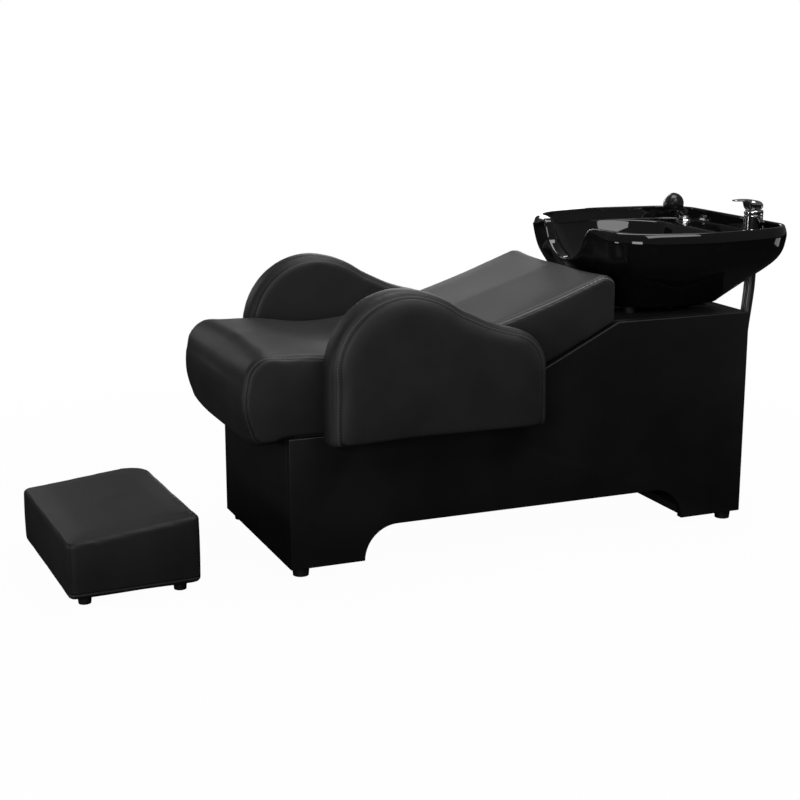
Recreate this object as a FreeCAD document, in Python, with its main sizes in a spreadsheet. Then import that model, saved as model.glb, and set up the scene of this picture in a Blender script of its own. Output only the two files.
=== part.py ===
import FreeCAD, Part
import math
import operator
import os
import Sketcher

# A salon shampoo bed: an upholstered lounger on a box base, a tilting ceramic basin with a mixer
# tap and a hand spray, and a loose footstool. Millimetres and degrees. +X runs from the foot end
# to the head end, -Y is the near side and +Z is up. The floor is at zero, and the origin is under
# the middle of the whole footprint. Distances along the bed start at the base's front face.

SIZES = {
    # Base box of veneered panels
    "base_length": 1120,
    "base_width": 480,
    "base_height": 498,
    "panel": 18,
    "seat_deck_height": 305,
    "slope_run": 389,
    "basin_deck_length": 345,
    "arch_front_inset": 168,
    "arch_rear_inset": 161,
    "arch_rise": 75,
    "floor_board_depth": 130,
    "deck_opening_margin": 60,
    "deck_opening_width": 236,
    # Feet and their screws
    "foot_height": 20,
    "foot_radius": 19,
    "foot_taper": 2,
    "foot_end_inset": 30,
    "foot_side_inset": 26,
    "foot_recess_radius": 7,
    "foot_recess_depth": 9,
    "screw_radius": 2.3,
    "screw_length": 20,
    "screw_head_radius": 5,
    "screw_head_height": 3.5,
    # Clearances and the overrun of cuts
    "loose_fit": 0.3,
    "running_fit": 0.06,
    "overrun": 2,
    # Seat and back cushions
    "seat_overhang": 97,
    "seat_height": 478,
    "seat_dip": 14,
    "seat_rear_round": 26,
    "nose_drop": 8,
    "back_gap": 1,
    "back_front_height": 177,
    "back_rear_height": 103,
    "back_front_round": 30,
    "back_rear_round": 34,
    "back_rear_setback": 7,
    "cushion_board": 12,
    "cushion_board_inset": 16,
    "seam_draw": 8,
    "seam_width": 14,
    "cushion_crown": 6,
    # Arms
    "arm_overlap": 174,
    "arm_length": 490,
    "arm_bottom": 299,
    "arm_height": 312,
    "arm_thickness": 85,
    "arm_face_crown": 5,
    "arm_face_draw": 40,
    "arm_board": 18,
    "arm_board_inset": 26,
    "arm_bar_width": 40,
    "arm_bar_thickness": 4,
    "arm_bar_rise": 150,
    "arm_screw_radius": 3,
    "arm_screw_length": 14,
    "arm_screw_head_radius": 6,
    "arm_screw_head_height": 3,
    # Ceramic basin
    "basin_front_gap": 1,
    "basin_lift": 14,
    "basin_length": 466,
    "basin_width": 580,
    "basin_height": 179,
    "basin_corner": 85,
    "basin_lip": 6,
    "band_height": 66,
    "band_front_draft": 20,
    "band_rear_draft": 12,
    "band_side_draft": 8,
    "hull_front_inset": 52,
    "hull_rear_inset": 134,
    "hull_side_inset": 104,
    "hull_corner": 58,
    "front_wall": 28,
    "side_wall": 16,
    "rear_wall": 15,
    "ledge_drop": 30,
    "ledge_depth": 95,
    "ledge_thickness": 13,
    "bowl_thickness": 20,
    "bowl_front_inset": 90,
    "bowl_rear_inset": 130,
    "bowl_side_inset": 168,
    "bowl_step": 3,
    "bowl_corner": 92,
    "bowl_floor_corner": 52,
    "notch_width": 204,
    "notch_depth": 79,
    "notch_reach": 70,
    "service_wall": 16,
    "service_rear_wall": 17,
    "service_lean": 28,
    "service_width": 400,
    "service_taper": 60,
    # Tilt mechanism under the basin
    "pivot_setback": 254,
    "pivot_drop": 30,
    "pivot_radius": 6,
    "pivot_head_radius": 11,
    "pivot_head_height": 6,
    "rail_depth": 70,
    "rail_height": 45,
    "bracket_width": 130,
    "bracket_depth": 60,
    "bracket_sheet": 5,
    "bracket_rise": 32,
    "bracket_ear": 14,
    "bracket_bolt_radius": 4,
    "bracket_bolt_length": 40,
    "bracket_bolt_head_radius": 7,
    "bracket_bolt_head_height": 5,
    "bracket_bolt_pitch_x": 36,
    "bracket_bolt_pitch_y": 84,
    "plate_width": 210,
    "plate_depth": 80,
    "plate_room": 16,
    "plate_sheet": 4,
    "plate_bolt_radius": 4,
    "plate_bolt_grip": 12,
    "plate_bolt_pitch_x": 56,
    "plate_bolt_pitch_y": 178,
    "bush_wall": 2,
    "bush_flange": 2,
    "bush_flange_radius": 11,
    "stop_radius": 14,
    "stop_setback": 86,
    "stop_spread": 270,
    # Drain
    "drain_setback": 176,
    "drain_hole_radius": 25,
    "flange_radius": 33,
    "flange_thickness": 3,
    "flange_tube_radius": 24,
    "flange_bore_radius": 21,
    "flange_reach": 44,
    "drain_nut_radius": 33,
    "drain_nut_height": 12,
    "tail_radius": 17,
    "tail_bore_radius": 14.5,
    "tail_collar": 6,
    "tail_length": 64,
    "strainer_rim_radius": 27,
    "strainer_rim": 2,
    "strainer_depth": 16,
    "strainer_wall": 1.5,
    "strainer_hole_radius": 2.4,
    "strainer_hole_circle": 12,
    "strainer_knob_radius": 3.5,
    "strainer_knob_height": 10,
    "waste_inset": 83,
    "waste_radius": 17,
    "waste_bore_radius": 14.5,
    "waste_rise": 80,
    "waste_flange_radius": 32,
    "waste_flange": 4,
    "waste_hose_radius": 19,
    # Mixer tap
    "tap_inset": 43,
    "tap_offset": 125,
    "tap_radius": 22.5,
    "tap_height": 40,
    "tap_flange_radius": 24.5,
    "tap_flange": 5,
    "tap_shank_radius": 16.5,
    "tap_shank_length": 40,
    "tap_nut_radius": 24,
    "tap_nut_height": 9,
    "cartridge_radius": 17.5,
    "cartridge_depth": 28,
    "stem_radius": 6,
    "stem_height": 6,
    "cap_height": 11,
    "cap_post_width": 8,
    "cap_post_length": 15,
    "lever_pivot_rise": 11,
    "lever_pivot_setback": 10,
    "lever_rear_radius": 10.4,
    "lever_reach": 60,
    "lever_tip_rise": 26.5,
    "lever_tip_thickness": 4,
    "lever_root_thickness": 7,
    "lever_neck": 21,
    "lever_width": 40,
    "lever_tip_width": 17,
    "lever_pin_radius": 2,
    # Hand spray and its holder
    "spray_inset": 42,
    "spray_offset": 172,
    "holder_flange_radius": 23,
    "holder_flange": 5,
    "holder_radius": 14.5,
    "holder_bore_radius": 11.5,
    "holder_length": 34,
    "holder_nut_radius": 21,
    "holder_nut_height": 8,
    "ferrule_radius": 11,
    "ferrule_collar_radius": 14,
    "ferrule_collar": 7,
    "ferrule_length": 22,
    "spray_knuckle": 6,
    "spray_knuckle_radius": 10.5,
    "spray_reach": 43,
    "spray_neck_radius": 7.4,
    "spray_neck_top_radius": 15,
    "spray_head_radius": 26,
    "spray_head_back": 20,
    "spray_head_front": 16,
    "spray_rim": 5,
    "spray_rim_radius": 23.5,
    "spray_head_lean": 52,
    "spray_face_radius": 20,
    "spray_face_depth": 4,
    "spray_hole_radius": 1.2,
    # Hoses
    "hose_radius": 5,
    "spray_hose_radius": 5.5,
    "spray_hose_drop": 209,
    "port_circle": 9,
    "hose_ferrule_radius": 6.5,
    "hose_ferrule_length": 25,
    "grommet_offset": 110,
    "grommet_drop": 149,
    "grommet_pitch": 16,
    "grommet_radius": 22,
    "grommet_flange_radius": 28,
    "grommet_flange": 3,
    "union_tail": 50,
    "union_nut_radius": 8,
    "union_nut_length": 20,
    "union_bore_radius": 4,
    # Footstool
    "stool_distance": 336,
    "stool_offset": 18,
    "stool_yaw": 2.2,
    "stool_length": 272,
    "stool_width": 436,
    "stool_height": 152,
    "stool_lean": 5.5,
    "stool_corner": 14,
    "stool_round": 10,
    "stool_crown": 4,
    "stool_frame_inset": 14,
    "stool_frame_wall": 15,
    "stool_frame_top": 112,
    "stool_floor": 12,
    "stool_foot_radius": 15,
    "stool_foot_end_inset": 36,
    "stool_foot_side_inset": 34,
}

# Shapes given as shares of the sizes that they follow
NOSE_SHARES = {
    "crest": (0.42, 1.0),
    "brow": ((0.80, 0.915), (0.955, 0.70)),
    "front": ((1.0, 0.40), (0.87, 0.10)),
    "chin_via": 0.74,
    "chin": 0.54,
}
SEAT_DIP_SHARE = 0.55
ARM_SHARES = (
    (0.0, 0.0),
    (1.0, 0.0),
    (1.0, 0.44),
    ((0.965, 0.575), (0.88, 0.67)),
    ((0.80, 0.71), (0.72, 0.757)),
    (0.575, 0.865),
    ((0.455, 0.963), (0.33, 1.0)),
    ((0.095, 0.845), (0.0, 0.44)),
)
ARM_BOARD_SHARES = ((0.0, 0.0), (1.0, 0.0), (1.0, 0.42), (0.40, 0.84), (0.16, 0.80), (0.0, 0.46))
ARM_BAR_SHARES = (0.415, 0.855)
ARM_SCREW_SHARES = (0.45, 0.85)
PLAN_SHARES = {"front": 0.83, "rear": 0.86, "widest": 0.47, "waist": 1.0}
BOWL_DEPTH_SHARES = (0.0, 0.22, 0.43, 0.62, 0.78, 0.90, 0.97, 1.0)
NOTCH_SHOULDER_SHARES = (0.80, 0.42)
ROUND_SHARE = math.sqrt(0.5)
ARC_RUN_SHARE = 0.45
WASTE_SHARES = (
    (0.0, 0.0),
    (0.0, 0.17),
    (0.15, 0.34),
    (0.85, 0.66),
    (1.0, 0.83),
    (1.0, 1.0),
)
STRAINER_HOLES = 6
SUPPLY_PORT_ANGLE = 51
SPRAY_HOLE_RINGS = {0.40: 6, 0.76: 12}

# Routes of the hoses, from end to end: distance from the base's front face, then Y and Z
HOT_ROUTE = (
    (1193.3, -132, 596),
    (1193.3, -132, 545),
    (1190, -130, 492),
    (1187, -126, 438),
    (1186, -121, 387),
    (1172, -118, 363),
    (1148, -118, 349),
    (1123, -118, 349),
)
COLD_ROUTE = (
    (1193.3, -118, 596),
    (1193.3, -118, 545),
    (1192, -113, 492),
    (1190, -107, 438),
    (1189, -103, 387),
    (1174, -102, 363),
    (1149, -102, 349),
    (1123, -102, 349),
)
SPRAY_ROUTE = (
    (1208, -125, 596),
    (1208, -125, 545),
    (1204, -122, 490),
    (1200, -117.5, 435),
    (1200, -112, 380),
    (1200, -104, 318),
    (1199, -92, 256),
    (1198, -72, 203),
    (1197, -40, 164),
    (1196, 2, 147),
    (1196, 46, 152),
    (1197, 88, 178),
    (1198, 122, 221),
    (1199, 148, 276),
    (1200, 164, 336),
    (1200, 172, 392),
    (1200, 172, 435),
)

LEFT = 1
RIGHT = -1
NEAR = -1
FAR = 1
ALONG_X = FreeCAD.Rotation(FreeCAD.Vector(0, 1, 0), 90)
ALONG_Y = FreeCAD.Rotation(FreeCAD.Vector(1, 0, 0), -90)
SIGNS = {"+": operator.add, "-": operator.sub, "*": operator.mul, "/": operator.truediv}

document = FreeCAD.newDocument("shampoo_bed")
sheet = document.addObject("Spreadsheet::Sheet", "dims")
nodes = {}


class Size:
    """A size from the sheet, or a sum of such sizes: its number now, and its text as an expression."""

    def __init__(self, number, text):
        self.number = number
        self.text = text

    def __add__(self, other):
        return joined(self, "+", other)

    def __radd__(self, other):
        return joined(other, "+", self)

    def __sub__(self, other):
        return joined(self, "-", other)

    def __rsub__(self, other):
        return joined(other, "-", self)

    def __mul__(self, other):
        return joined(self, "*", other)

    def __rmul__(self, other):
        return joined(other, "*", self)

    def __truediv__(self, other):
        return joined(self, "/", other)

    def __neg__(self):
        return joined(-1, "*", self)


def as_size(value):
    """A plain count, share or zero as a size, so that it can join a sum."""
    return value if isinstance(value, Size) else Size(value, repr(value))


def joined(left, sign, right):
    """Two sizes joined by a sign, in numbers and in text."""
    left = as_size(left)
    right = as_size(right)
    return Size(SIGNS[sign](left.number, right.number), f"({left.text} {sign} {right.text})")


def cosine(angle):
    return Size(math.cos(math.radians(angle.number)), f"cos({angle.text})")


def sine(angle):
    return Size(math.sin(math.radians(angle.number)), f"sin({angle.text})")


class Dimensions:
    """Every driving dimension by name, each kept in a cell of the sheet."""

    def __init__(self, numbers):
        for row, (name, number) in enumerate(numbers.items(), start=1):
            sheet.set(f"A{row}", name)
            sheet.set(f"B{row}", str(number))
            sheet.setAlias(f"B{row}", name)
        document.recompute()
        for name in numbers:
            setattr(self, name, Size(sheet.get(name), f"dims.{name}"))


d = Dimensions(SIZES)
stool_reach = (
    d.stool_distance
    + (d.stool_length / 2 - d.stool_corner) * cosine(d.stool_yaw)
    + (d.stool_width / 2 - d.stool_corner) * sine(d.stool_yaw)
    + d.stool_corner
)
slope_end = d.base_length - d.basin_deck_length
slope_start = slope_end - d.slope_run
arm_start = slope_start + d.arm_overlap - d.arm_length
basin_front = slope_end + d.basin_front_gap
basin_rear = basin_front + d.basin_length
basin_low = d.base_height + d.basin_lift
rim_z = basin_low + d.basin_height
ledge_z = rim_z - d.ledge_drop
floor_z = basin_low + d.bowl_thickness
pivot_x = basin_front + d.pivot_setback
pivot_z = d.base_height - d.pivot_drop
drain_x = basin_front + d.drain_setback
tap_x = basin_rear - d.tap_inset
spray_x = basin_rear - d.spray_inset
waste_x = d.base_length - d.waste_inset
grommet_z = d.base_height - d.grommet_drop
arm_bars_x = [slope_start * share for share in ARM_BAR_SHARES]
base_front = (stool_reach - basin_rear) / 2
base_half = d.base_width / 2
inner_half = base_half - d.panel


def along(distance):
    """X of a place, from its distance behind the base's front face."""
    return base_front + distance


def number_of(value):
    return as_size(value).number


def number_triple(*sizes):
    return tuple(number_of(size) for size in sizes)


# Helpers that make and place pieces


def node(label, item):
    """Name a finished sub-part."""
    item.Label = label
    nodes[label] = item
    return item


def place(item, x=0, y=0, z=0, turn=None):
    """Put a piece at a place bound to the sheet, turned first where a turn is given."""
    if turn is not None:
        item.Placement = FreeCAD.Placement(FreeCAD.Vector(), turn)
    for axis, size in zip("xyz", (x, y, z)):
        item.setExpression(f"Placement.Base.{axis}", as_size(size).text)
    return item


def add(kind, **sizes):
    """A primitive whose properties are bound to sizes."""
    item = document.addObject(kind, "piece")
    for name, size in sizes.items():
        item.setExpression(name, as_size(size).text)
    return item


def box(low, high):
    """A block between two corners."""
    length, width, height = (as_size(top) - bottom for bottom, top in zip(low, high))
    return place(add("Part::Box", Length=length, Width=width, Height=height), *low)


def rod(radius, length, at, turn=None):
    """A cylinder that starts at a place and runs up, or along the turned axis."""
    return place(add("Part::Cylinder", Radius=radius, Height=length), *at, turn)


def fused(pieces):
    item = document.addObject("Part::MultiFuse", "piece")
    item.Shapes = pieces
    return item


def cut(piece, tools):
    """A piece with one or more tools taken out of it."""
    item = document.addObject("Part::Cut", "piece")
    item.Base = piece
    item.Tool = tools[0] if len(tools) == 1 else fused(tools)
    return item


def common(first, second):
    item = document.addObject("Part::Common", "piece")
    item.Base = first
    item.Tool = second
    return item


def group(pieces):
    """Separate like solids that share one node."""
    item = document.addObject("Part::Compound", "group")
    item.Links = pieces
    return item


def feature(shape):
    item = document.addObject("Part::Feature", "piece")
    item.Shape = shape
    return item


def draw(drawing, outline):
    """Close an outline of corners in a sketch, every corner bound to the sheet.

    A corner is (x, y) before a straight run, or (x, y, radius, turn) before an arc.
    """
    corners = [[as_size(value) for value in corner] for corner in outline]
    places = [FreeCAD.Vector(corner[0].number, corner[1].number, 0) for corner in corners]
    edges = []
    for index, corner in enumerate(corners):
        start = places[index]
        stop = places[(index + 1) % len(places)]
        if len(corner) == 2:
            edges.append((drawing.addGeometry(Part.LineSegment(start, stop)), 1, 2))
            continue
        radius = corner[2].number
        turn = corner[3].number
        chord = stop - start
        side = FreeCAD.Vector(-chord.y, chord.x, 0).normalize()
        middle = (start + stop) * 0.5
        height = math.sqrt(max(radius**2 - (chord.Length / 2) ** 2, 0))
        centre = middle + side * height * turn
        first, last = (start, stop) if turn == LEFT else (stop, start)
        angles = [math.atan2(spot.y - centre.y, spot.x - centre.x) for spot in (first, last)]
        if angles[1] < angles[0]:
            angles[1] += 2 * math.pi
        circle = Part.Circle(centre, FreeCAD.Vector(0, 0, 1), radius)
        arc = drawing.addGeometry(Part.ArcOfCircle(circle, *angles))
        edges.append((arc, 1, 2) if turn == LEFT else (arc, 2, 1))
        limit = drawing.addConstraint(Sketcher.Constraint("Radius", arc, radius))
        drawing.setExpression(f"Constraints[{limit}]", corner[2].text)
    for index, (edge, start_end, stop_end) in enumerate(edges):
        following = edges[(index + 1) % len(edges)]
        meeting = Sketcher.Constraint("Coincident", edge, stop_end, following[0], following[1])
        drawing.addConstraint(meeting)
        bind_point(drawing, edge, start_end, corners[index])


def bind_point(drawing, edge, end, corner):
    """Hold one point of a sketch at a corner's two sizes."""
    for kind, size in zip(("DistanceX", "DistanceY"), corner):
        held = drawing.addConstraint(Sketcher.Constraint(kind, -1, 1, edge, end, size.number))
        drawing.setExpression(f"Constraints[{held}]", size.text)


def sketched_body(role, outline):
    """A body with one closed outline on one of its own planes."""
    body = document.addObject("PartDesign::Body", "body")
    drawing = body.newObject("Sketcher::SketchObject", "outline")
    plane = next(item for item in body.Origin.OriginFeatures if item.Role == role)
    drawing.AttachmentSupport = [(plane, "")]
    drawing.MapMode = "FlatFace"
    draw(drawing, outline)
    return body, drawing


def slab(role, outline, depth, at=(0, 0, 0), turn=None):
    """A padded outline. On the XZ plane the pad grows towards -Y, on the YZ plane towards +X."""
    body, drawing = sketched_body(role, outline)
    pad = body.newObject("PartDesign::Pad", "pad")
    pad.Profile = drawing
    pad.setExpression("Length", as_size(depth).text)
    return place(body, *at, turn)


def turned(outline, at=(0, 0, 0), turn=None):
    """An outline of radius and height, spun about its own upright axis."""
    body, drawing = sketched_body("XZ_Plane", outline)
    spin = body.newObject("PartDesign::Revolution", "spin")
    spin.Profile = drawing
    spin.ReferenceAxis = (drawing, ["V_Axis"])
    return place(body, *at, turn)


def ring_outline(outer, inner, low, high):
    """The section of a plain ring."""
    return ((inner, low), (outer, low), (outer, high), (inner, high))


def wire_of(steps, spot):
    """A closed wire of straight runs and three-point arcs, each point mapped by spot.

    A step is an end point, or a point on the way and an end point.
    """
    start = spot(steps[0])
    first = start
    edges = []
    for step in steps[1:]:
        if isinstance(step[0], tuple):
            way, end = (spot(point) for point in step)
            edges.append(Part.Arc(start, way, end).toShape())
        else:
            end = spot(step)
            edges.append(Part.LineSegment(start, end).toShape())
        start = end
    if start != first:
        edges.append(Part.LineSegment(start, first).toShape())
    return Part.Wire(edges)


def loft(wires):
    """A closed solid with straight rulings from each wire to the next."""
    return Part.makeLoft(wires, True, True)


def padded(steps, stations, floor):
    """A cushion: one side profile repeated across its width, drawn in at seams and swollen between.

    A station is a place across and how far the profile draws in there. The profile keeps to its
    floor, a function that gives the height under each distance.
    """
    points = [point for step in steps for point in (step if isinstance(step[0], tuple) else (step,))]
    lengths = [number_of(point[0]) for point in points]
    middle = (min(lengths) + max(lengths)) / 2
    run = max(lengths) - min(lengths)
    rise = max(number_of(point[1]) - floor(number_of(point[0])) for point in points)

    def spot_at(across, inward):
        def spot(point):
            x, z = (number_of(value) for value in point)
            moved = middle + (x - middle) * (1 - 2 * max(inward, 0) / run)
            lifted = floor(moved) + (z - floor(x)) * (1 - inward / rise)
            return FreeCAD.Vector(moved, across, lifted)

        return spot

    return loft([wire_of(steps, spot_at(number_of(y), number_of(inward))) for y, inward in stations])


def round_ring(low_x, high_x, half, corner, z):
    """A level outline with straight sides and four quarter-round corners."""
    low_x, high_x, half, corner, z = (number_of(value) for value in (low_x, high_x, half, corner, z))
    short = corner * (1 - ROUND_SHARE)
    steps = (
        (low_x + corner, -half),
        (high_x - corner, -half),
        ((high_x - short, -half + short), (high_x, -half + corner)),
        (high_x, half - corner),
        ((high_x - short, half - short), (high_x - corner, half)),
        (low_x + corner, half),
        ((low_x + short, half - short), (low_x, half - corner)),
        (low_x, -half + corner),
        ((low_x + short, -half + short), (low_x + corner, -half)),
    )
    return wire_of(steps, lambda point: FreeCAD.Vector(point[0], point[1], z))


def corner_arc(before, point, after, most=None):
    """The start, middle and end of the arc that rounds a corner, and its radius.

    The arc is as large as the corner's two runs allow, or has the radius most where that is less.
    """
    back = before - point
    ahead = after - point
    half_turn = (math.pi - back.getAngle(ahead)) / 2
    bend = ARC_RUN_SHARE * min(back.Length, ahead.Length) / math.tan(half_turn)
    if most is not None:
        bend = min(bend, most)
    back.normalize()
    ahead.normalize()
    inward = (back + ahead).normalize()
    reach = bend * math.tan(half_turn)
    way = point + inward * (bend / math.cos(half_turn) - bend)
    return point + back * reach, way, point + ahead * reach, bend


def basin_ring(low_x, high_x, half, corner, z):
    """A level outline of the basin: six sides, widest near the middle, with its corners rounded."""
    low_x, high_x, half, corner, z = (number_of(value) for value in (low_x, high_x, half, corner, z))
    front = half * PLAN_SHARES["front"]
    rear = half * PLAN_SHARES["rear"]
    widest = low_x + (high_x - low_x) * PLAN_SHARES["widest"]
    waist = half * PLAN_SHARES["waist"]
    corners = (
        (low_x, -front, corner),
        (widest, -half, waist),
        (high_x, -rear, corner),
        (high_x, rear, corner),
        (widest, half, waist),
        (low_x, front, corner),
    )
    points = [FreeCAD.Vector(x, y, z) for x, y, _ in corners]
    following = points[1:] + points[:1]
    arcs = [
        corner_arc(points[index - 1], point, following[index], corners[index][2])
        for index, point in enumerate(points)
    ]
    edges = []
    for index, (start, way, end, _) in enumerate(arcs):
        edges.append(Part.LineSegment(arcs[index - 1][2], start).toShape())
        edges.append(Part.Arc(start, way, end).toShape())
    return Part.Wire(edges)


def hose(name, route, radius):
    """A round hose along straight runs joined by tangent arcs, each as large as its runs allow."""
    points = [FreeCAD.Vector(base_front.number + x, y, z) for x, y, z in route]
    edges = []
    bends = []
    start = points[0]
    for before, point, after in zip(points, points[1:], points[2:]):
        arc_start, way, arc_end, bend = corner_arc(before, point, after)
        edges.append(Part.LineSegment(start, arc_start).toShape())
        edges.append(Part.Arc(arc_start, way, arc_end).toShape())
        start = arc_end
        bends.append(bend)
    edges.append(Part.LineSegment(start, points[-1]).toShape())
    path = Part.Wire(edges)
    section = Part.Wire(Part.makeCircle(radius.number, points[0], points[1] - points[0]))
    solid = path.makePipeShell([section], True, False)
    share = solid.Volume / (math.pi * radius.number**2 * path.Length)
    print(f"{name}: length {path.Length:.0f}, least bend {min(bends):.0f}, volume share {share:.4f}")
    return feature(solid)


# Base box


def bar_slots():
    """The channels across the deck and the side panels in which the arm bars lie."""
    low = d.seat_deck_height - d.arm_bar_thickness
    slots = []
    for distance in arm_bars_x:
        reach = d.arm_bar_width / 2 + d.loose_fit
        across = base_half + d.overrun
        start = (along(distance - reach), -across, low)
        end = (along(distance + reach), across, d.seat_deck_height + d.overrun)
        slots.append(box(start, end))
    return slots


def side_panel(side):
    """A side panel: level under the seat, sloped under the back, with a long low arch below."""
    foot = d.foot_height
    arch_end = d.base_length - d.arch_rear_inset
    outline = (
        (0, foot),
        (d.arch_front_inset, foot, d.arch_rise, RIGHT),
        (d.arch_front_inset + d.arch_rise, foot + d.arch_rise),
        (arch_end - d.arch_rise, foot + d.arch_rise, d.arch_rise, RIGHT),
        (arch_end, foot),
        (d.base_length, foot),
        (d.base_length, d.base_height),
        (slope_end, d.base_height),
        (slope_start, d.seat_deck_height),
        (0, d.seat_deck_height),
    )
    inner_or_outer = base_half if side == FAR else -inner_half
    return cut(slab("XZ_Plane", outline, d.panel, (base_front, inner_or_outer, 0)), bar_slots())


def base_panels():
    low = d.foot_height
    floor_top = low + d.panel
    rear_inner = d.base_length - d.panel
    deck_low = d.seat_deck_height - d.panel
    node("base_side_near", side_panel(NEAR))
    node("base_side_far", side_panel(FAR))
    front = box((along(0), -inner_half, low), (along(d.panel), inner_half, d.seat_deck_height))
    node("base_front_panel", front)
    rear_low = (along(rear_inner), -inner_half, low)
    rear = box(rear_low, (along(d.base_length), inner_half, d.base_height - d.panel))
    hole = rod(
        d.grommet_radius + d.loose_fit,
        d.panel + 2 * d.overrun,
        (along(rear_inner - d.overrun), -d.grommet_offset, grommet_z),
        ALONG_X,
    )
    node("base_rear_panel", cut(rear, [hole]))
    seat_low = (along(d.panel), -inner_half, deck_low)
    seat = box(seat_low, (along(slope_start), inner_half, d.seat_deck_height))
    node("seat_deck", cut(seat, bar_slots()))
    node("back_deck", back_deck())
    node("basin_deck", basin_deck())
    front_floor = (along(d.panel + d.floor_board_depth), inner_half, floor_top)
    node("base_floor_front", floor_board((along(d.panel), -inner_half, low), front_floor, 0))
    rear_floor = (along(rear_inner - d.floor_board_depth), -inner_half, low)
    floor = floor_board(rear_floor, (along(rear_inner), inner_half, floor_top), d.base_length)
    waste = rod(d.waste_radius + d.loose_fit, d.base_height, (along(waste_x), 0, 0))
    node("base_floor_rear", cut(floor, [waste]))


def back_deck():
    """The sloped board under the back cushion, level with the tops of the side panels."""
    outline = (
        (slope_start, d.seat_deck_height - d.panel),
        (slope_end, d.base_height - d.panel),
        (slope_end, d.base_height),
        (slope_start, d.seat_deck_height),
    )
    return slab("XZ_Plane", outline, 2 * inner_half, (base_front, inner_half, 0))


def basin_deck():
    """The level board under the basin, with an opening for the drain and the tilt bracket."""
    low = d.base_height - d.panel
    board = box(
        (along(slope_end), -inner_half, low), (along(d.base_length), inner_half, d.base_height)
    )
    half = d.deck_opening_width / 2
    start = drain_x - d.deck_opening_margin
    end = pivot_x + d.plate_depth / 2 + d.plate_room
    opening = box(
        (along(start), -half, low - d.overrun), (along(end), half, d.base_height + d.overrun)
    )
    return cut(board, [opening])


def foot_places(end_x):
    """The two feet of one end of the base."""
    inward = d.foot_end_inset if end_x == 0 else -d.foot_end_inset
    return [(along(end_x + inward), side * (base_half - d.foot_side_inset)) for side in (NEAR, FAR)]


def floor_board(low, high, end_x):
    """A board between the sides at one end, drilled for the screws of the feet."""
    holes = [
        rod(d.screw_radius + d.loose_fit, d.panel + 2 * d.overrun, (x, y, low[2] - d.overrun))
        for x, y in foot_places(end_x)
    ]
    return cut(box(low, high), holes)


def foot(x, y, radius):
    """A moulded foot, a little narrower at the floor, with a recess for its screw."""
    taper = radius - d.foot_taper
    outline = (
        (d.foot_recess_radius, 0),
        (taper, 0),
        (radius, d.foot_height),
        (d.screw_radius + d.loose_fit, d.foot_height),
        (d.screw_radius + d.loose_fit, d.foot_recess_depth),
        (d.foot_recess_radius, d.foot_recess_depth),
    )
    return turned(outline, (x, y, 0))


def foot_screw(x, y):
    """A pan-head screw whose head bears on the floor of the foot's recess."""
    low = d.foot_recess_depth - d.screw_head_height
    outline = (
        (0, low),
        (d.screw_head_radius, low),
        (d.screw_head_radius, d.foot_recess_depth),
        (d.screw_radius, d.foot_recess_depth),
        (d.screw_radius, d.foot_recess_depth + d.screw_length),
        (0, d.foot_recess_depth + d.screw_length),
    )
    return turned(outline, (x, y, 0))


def base_feet():
    places = foot_places(0) + foot_places(d.base_length)
    node("base_feet", group([foot(x, y, d.foot_radius) for x, y in places]))
    node("base_foot_screws", group([foot_screw(x, y) for x, y in places]))


# Upholstery


def seat_profile():
    """The side of the seat cushion: flat below, a rolled nose in front and a slight dip on top."""
    deck = d.seat_deck_height
    thick = d.seat_height - deck
    rear = slope_start - d.back_gap / 2
    rounding = d.seat_rear_round
    short = rounding * (1 - ROUND_SHARE)

    def nose(share):
        return (along(-d.seat_overhang * share[0]), deck + thick * share[1])

    crest = nose(NOSE_SHARES["crest"])
    dip = (along(rear * SEAT_DIP_SHARE), d.seat_height - d.seat_dip)
    under = deck - d.nose_drop
    chin = (along(-d.seat_overhang * NOSE_SHARES["chin"]), under)
    chin_way = (along(-d.seat_overhang * NOSE_SHARES["chin_via"]), under + d.nose_drop / 2)
    return (
        (along(-d.loose_fit), deck),
        (along(rear), deck),
        (along(rear), d.seat_height - rounding),
        ((along(rear - short), d.seat_height - short), (along(rear - rounding), d.seat_height)),
        (dip, crest),
        tuple(nose(share) for share in NOSE_SHARES["brow"]),
        tuple(nose(share) for share in NOSE_SHARES["front"]),
        (chin_way, chin),
    )


def cushion_stations():
    """Seams at both sides, straight flanks within them, and a crown in the middle."""
    half = base_half - d.loose_fit
    flank = half - d.seam_width
    return (
        (-half, d.seam_draw),
        (-flank, 0),
        (0, -d.cushion_crown),
        (flank, 0),
        (half, d.seam_draw),
    )


def seat():
    deck = d.seat_deck_height.number
    shape = padded(seat_profile(), cushion_stations(), lambda x: deck)
    half = base_half - d.cushion_board_inset
    low = (along(d.cushion_board_inset), -half, d.seat_deck_height)
    top = d.seat_deck_height + d.cushion_board
    high = (along(slope_start - d.cushion_board_inset), half, top)
    node("seat_cushion", cut(feature(shape), [box(low, high)]))
    node("seat_board", box(low, high))


def slope_height(x):
    """Height of the back deck's face at a place along the bed, in plain numbers."""
    rise = (d.base_height - d.seat_deck_height).number
    run = (slope_end - slope_start).number
    return d.seat_deck_height.number + (x - along(slope_start).number) * rise / run


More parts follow.
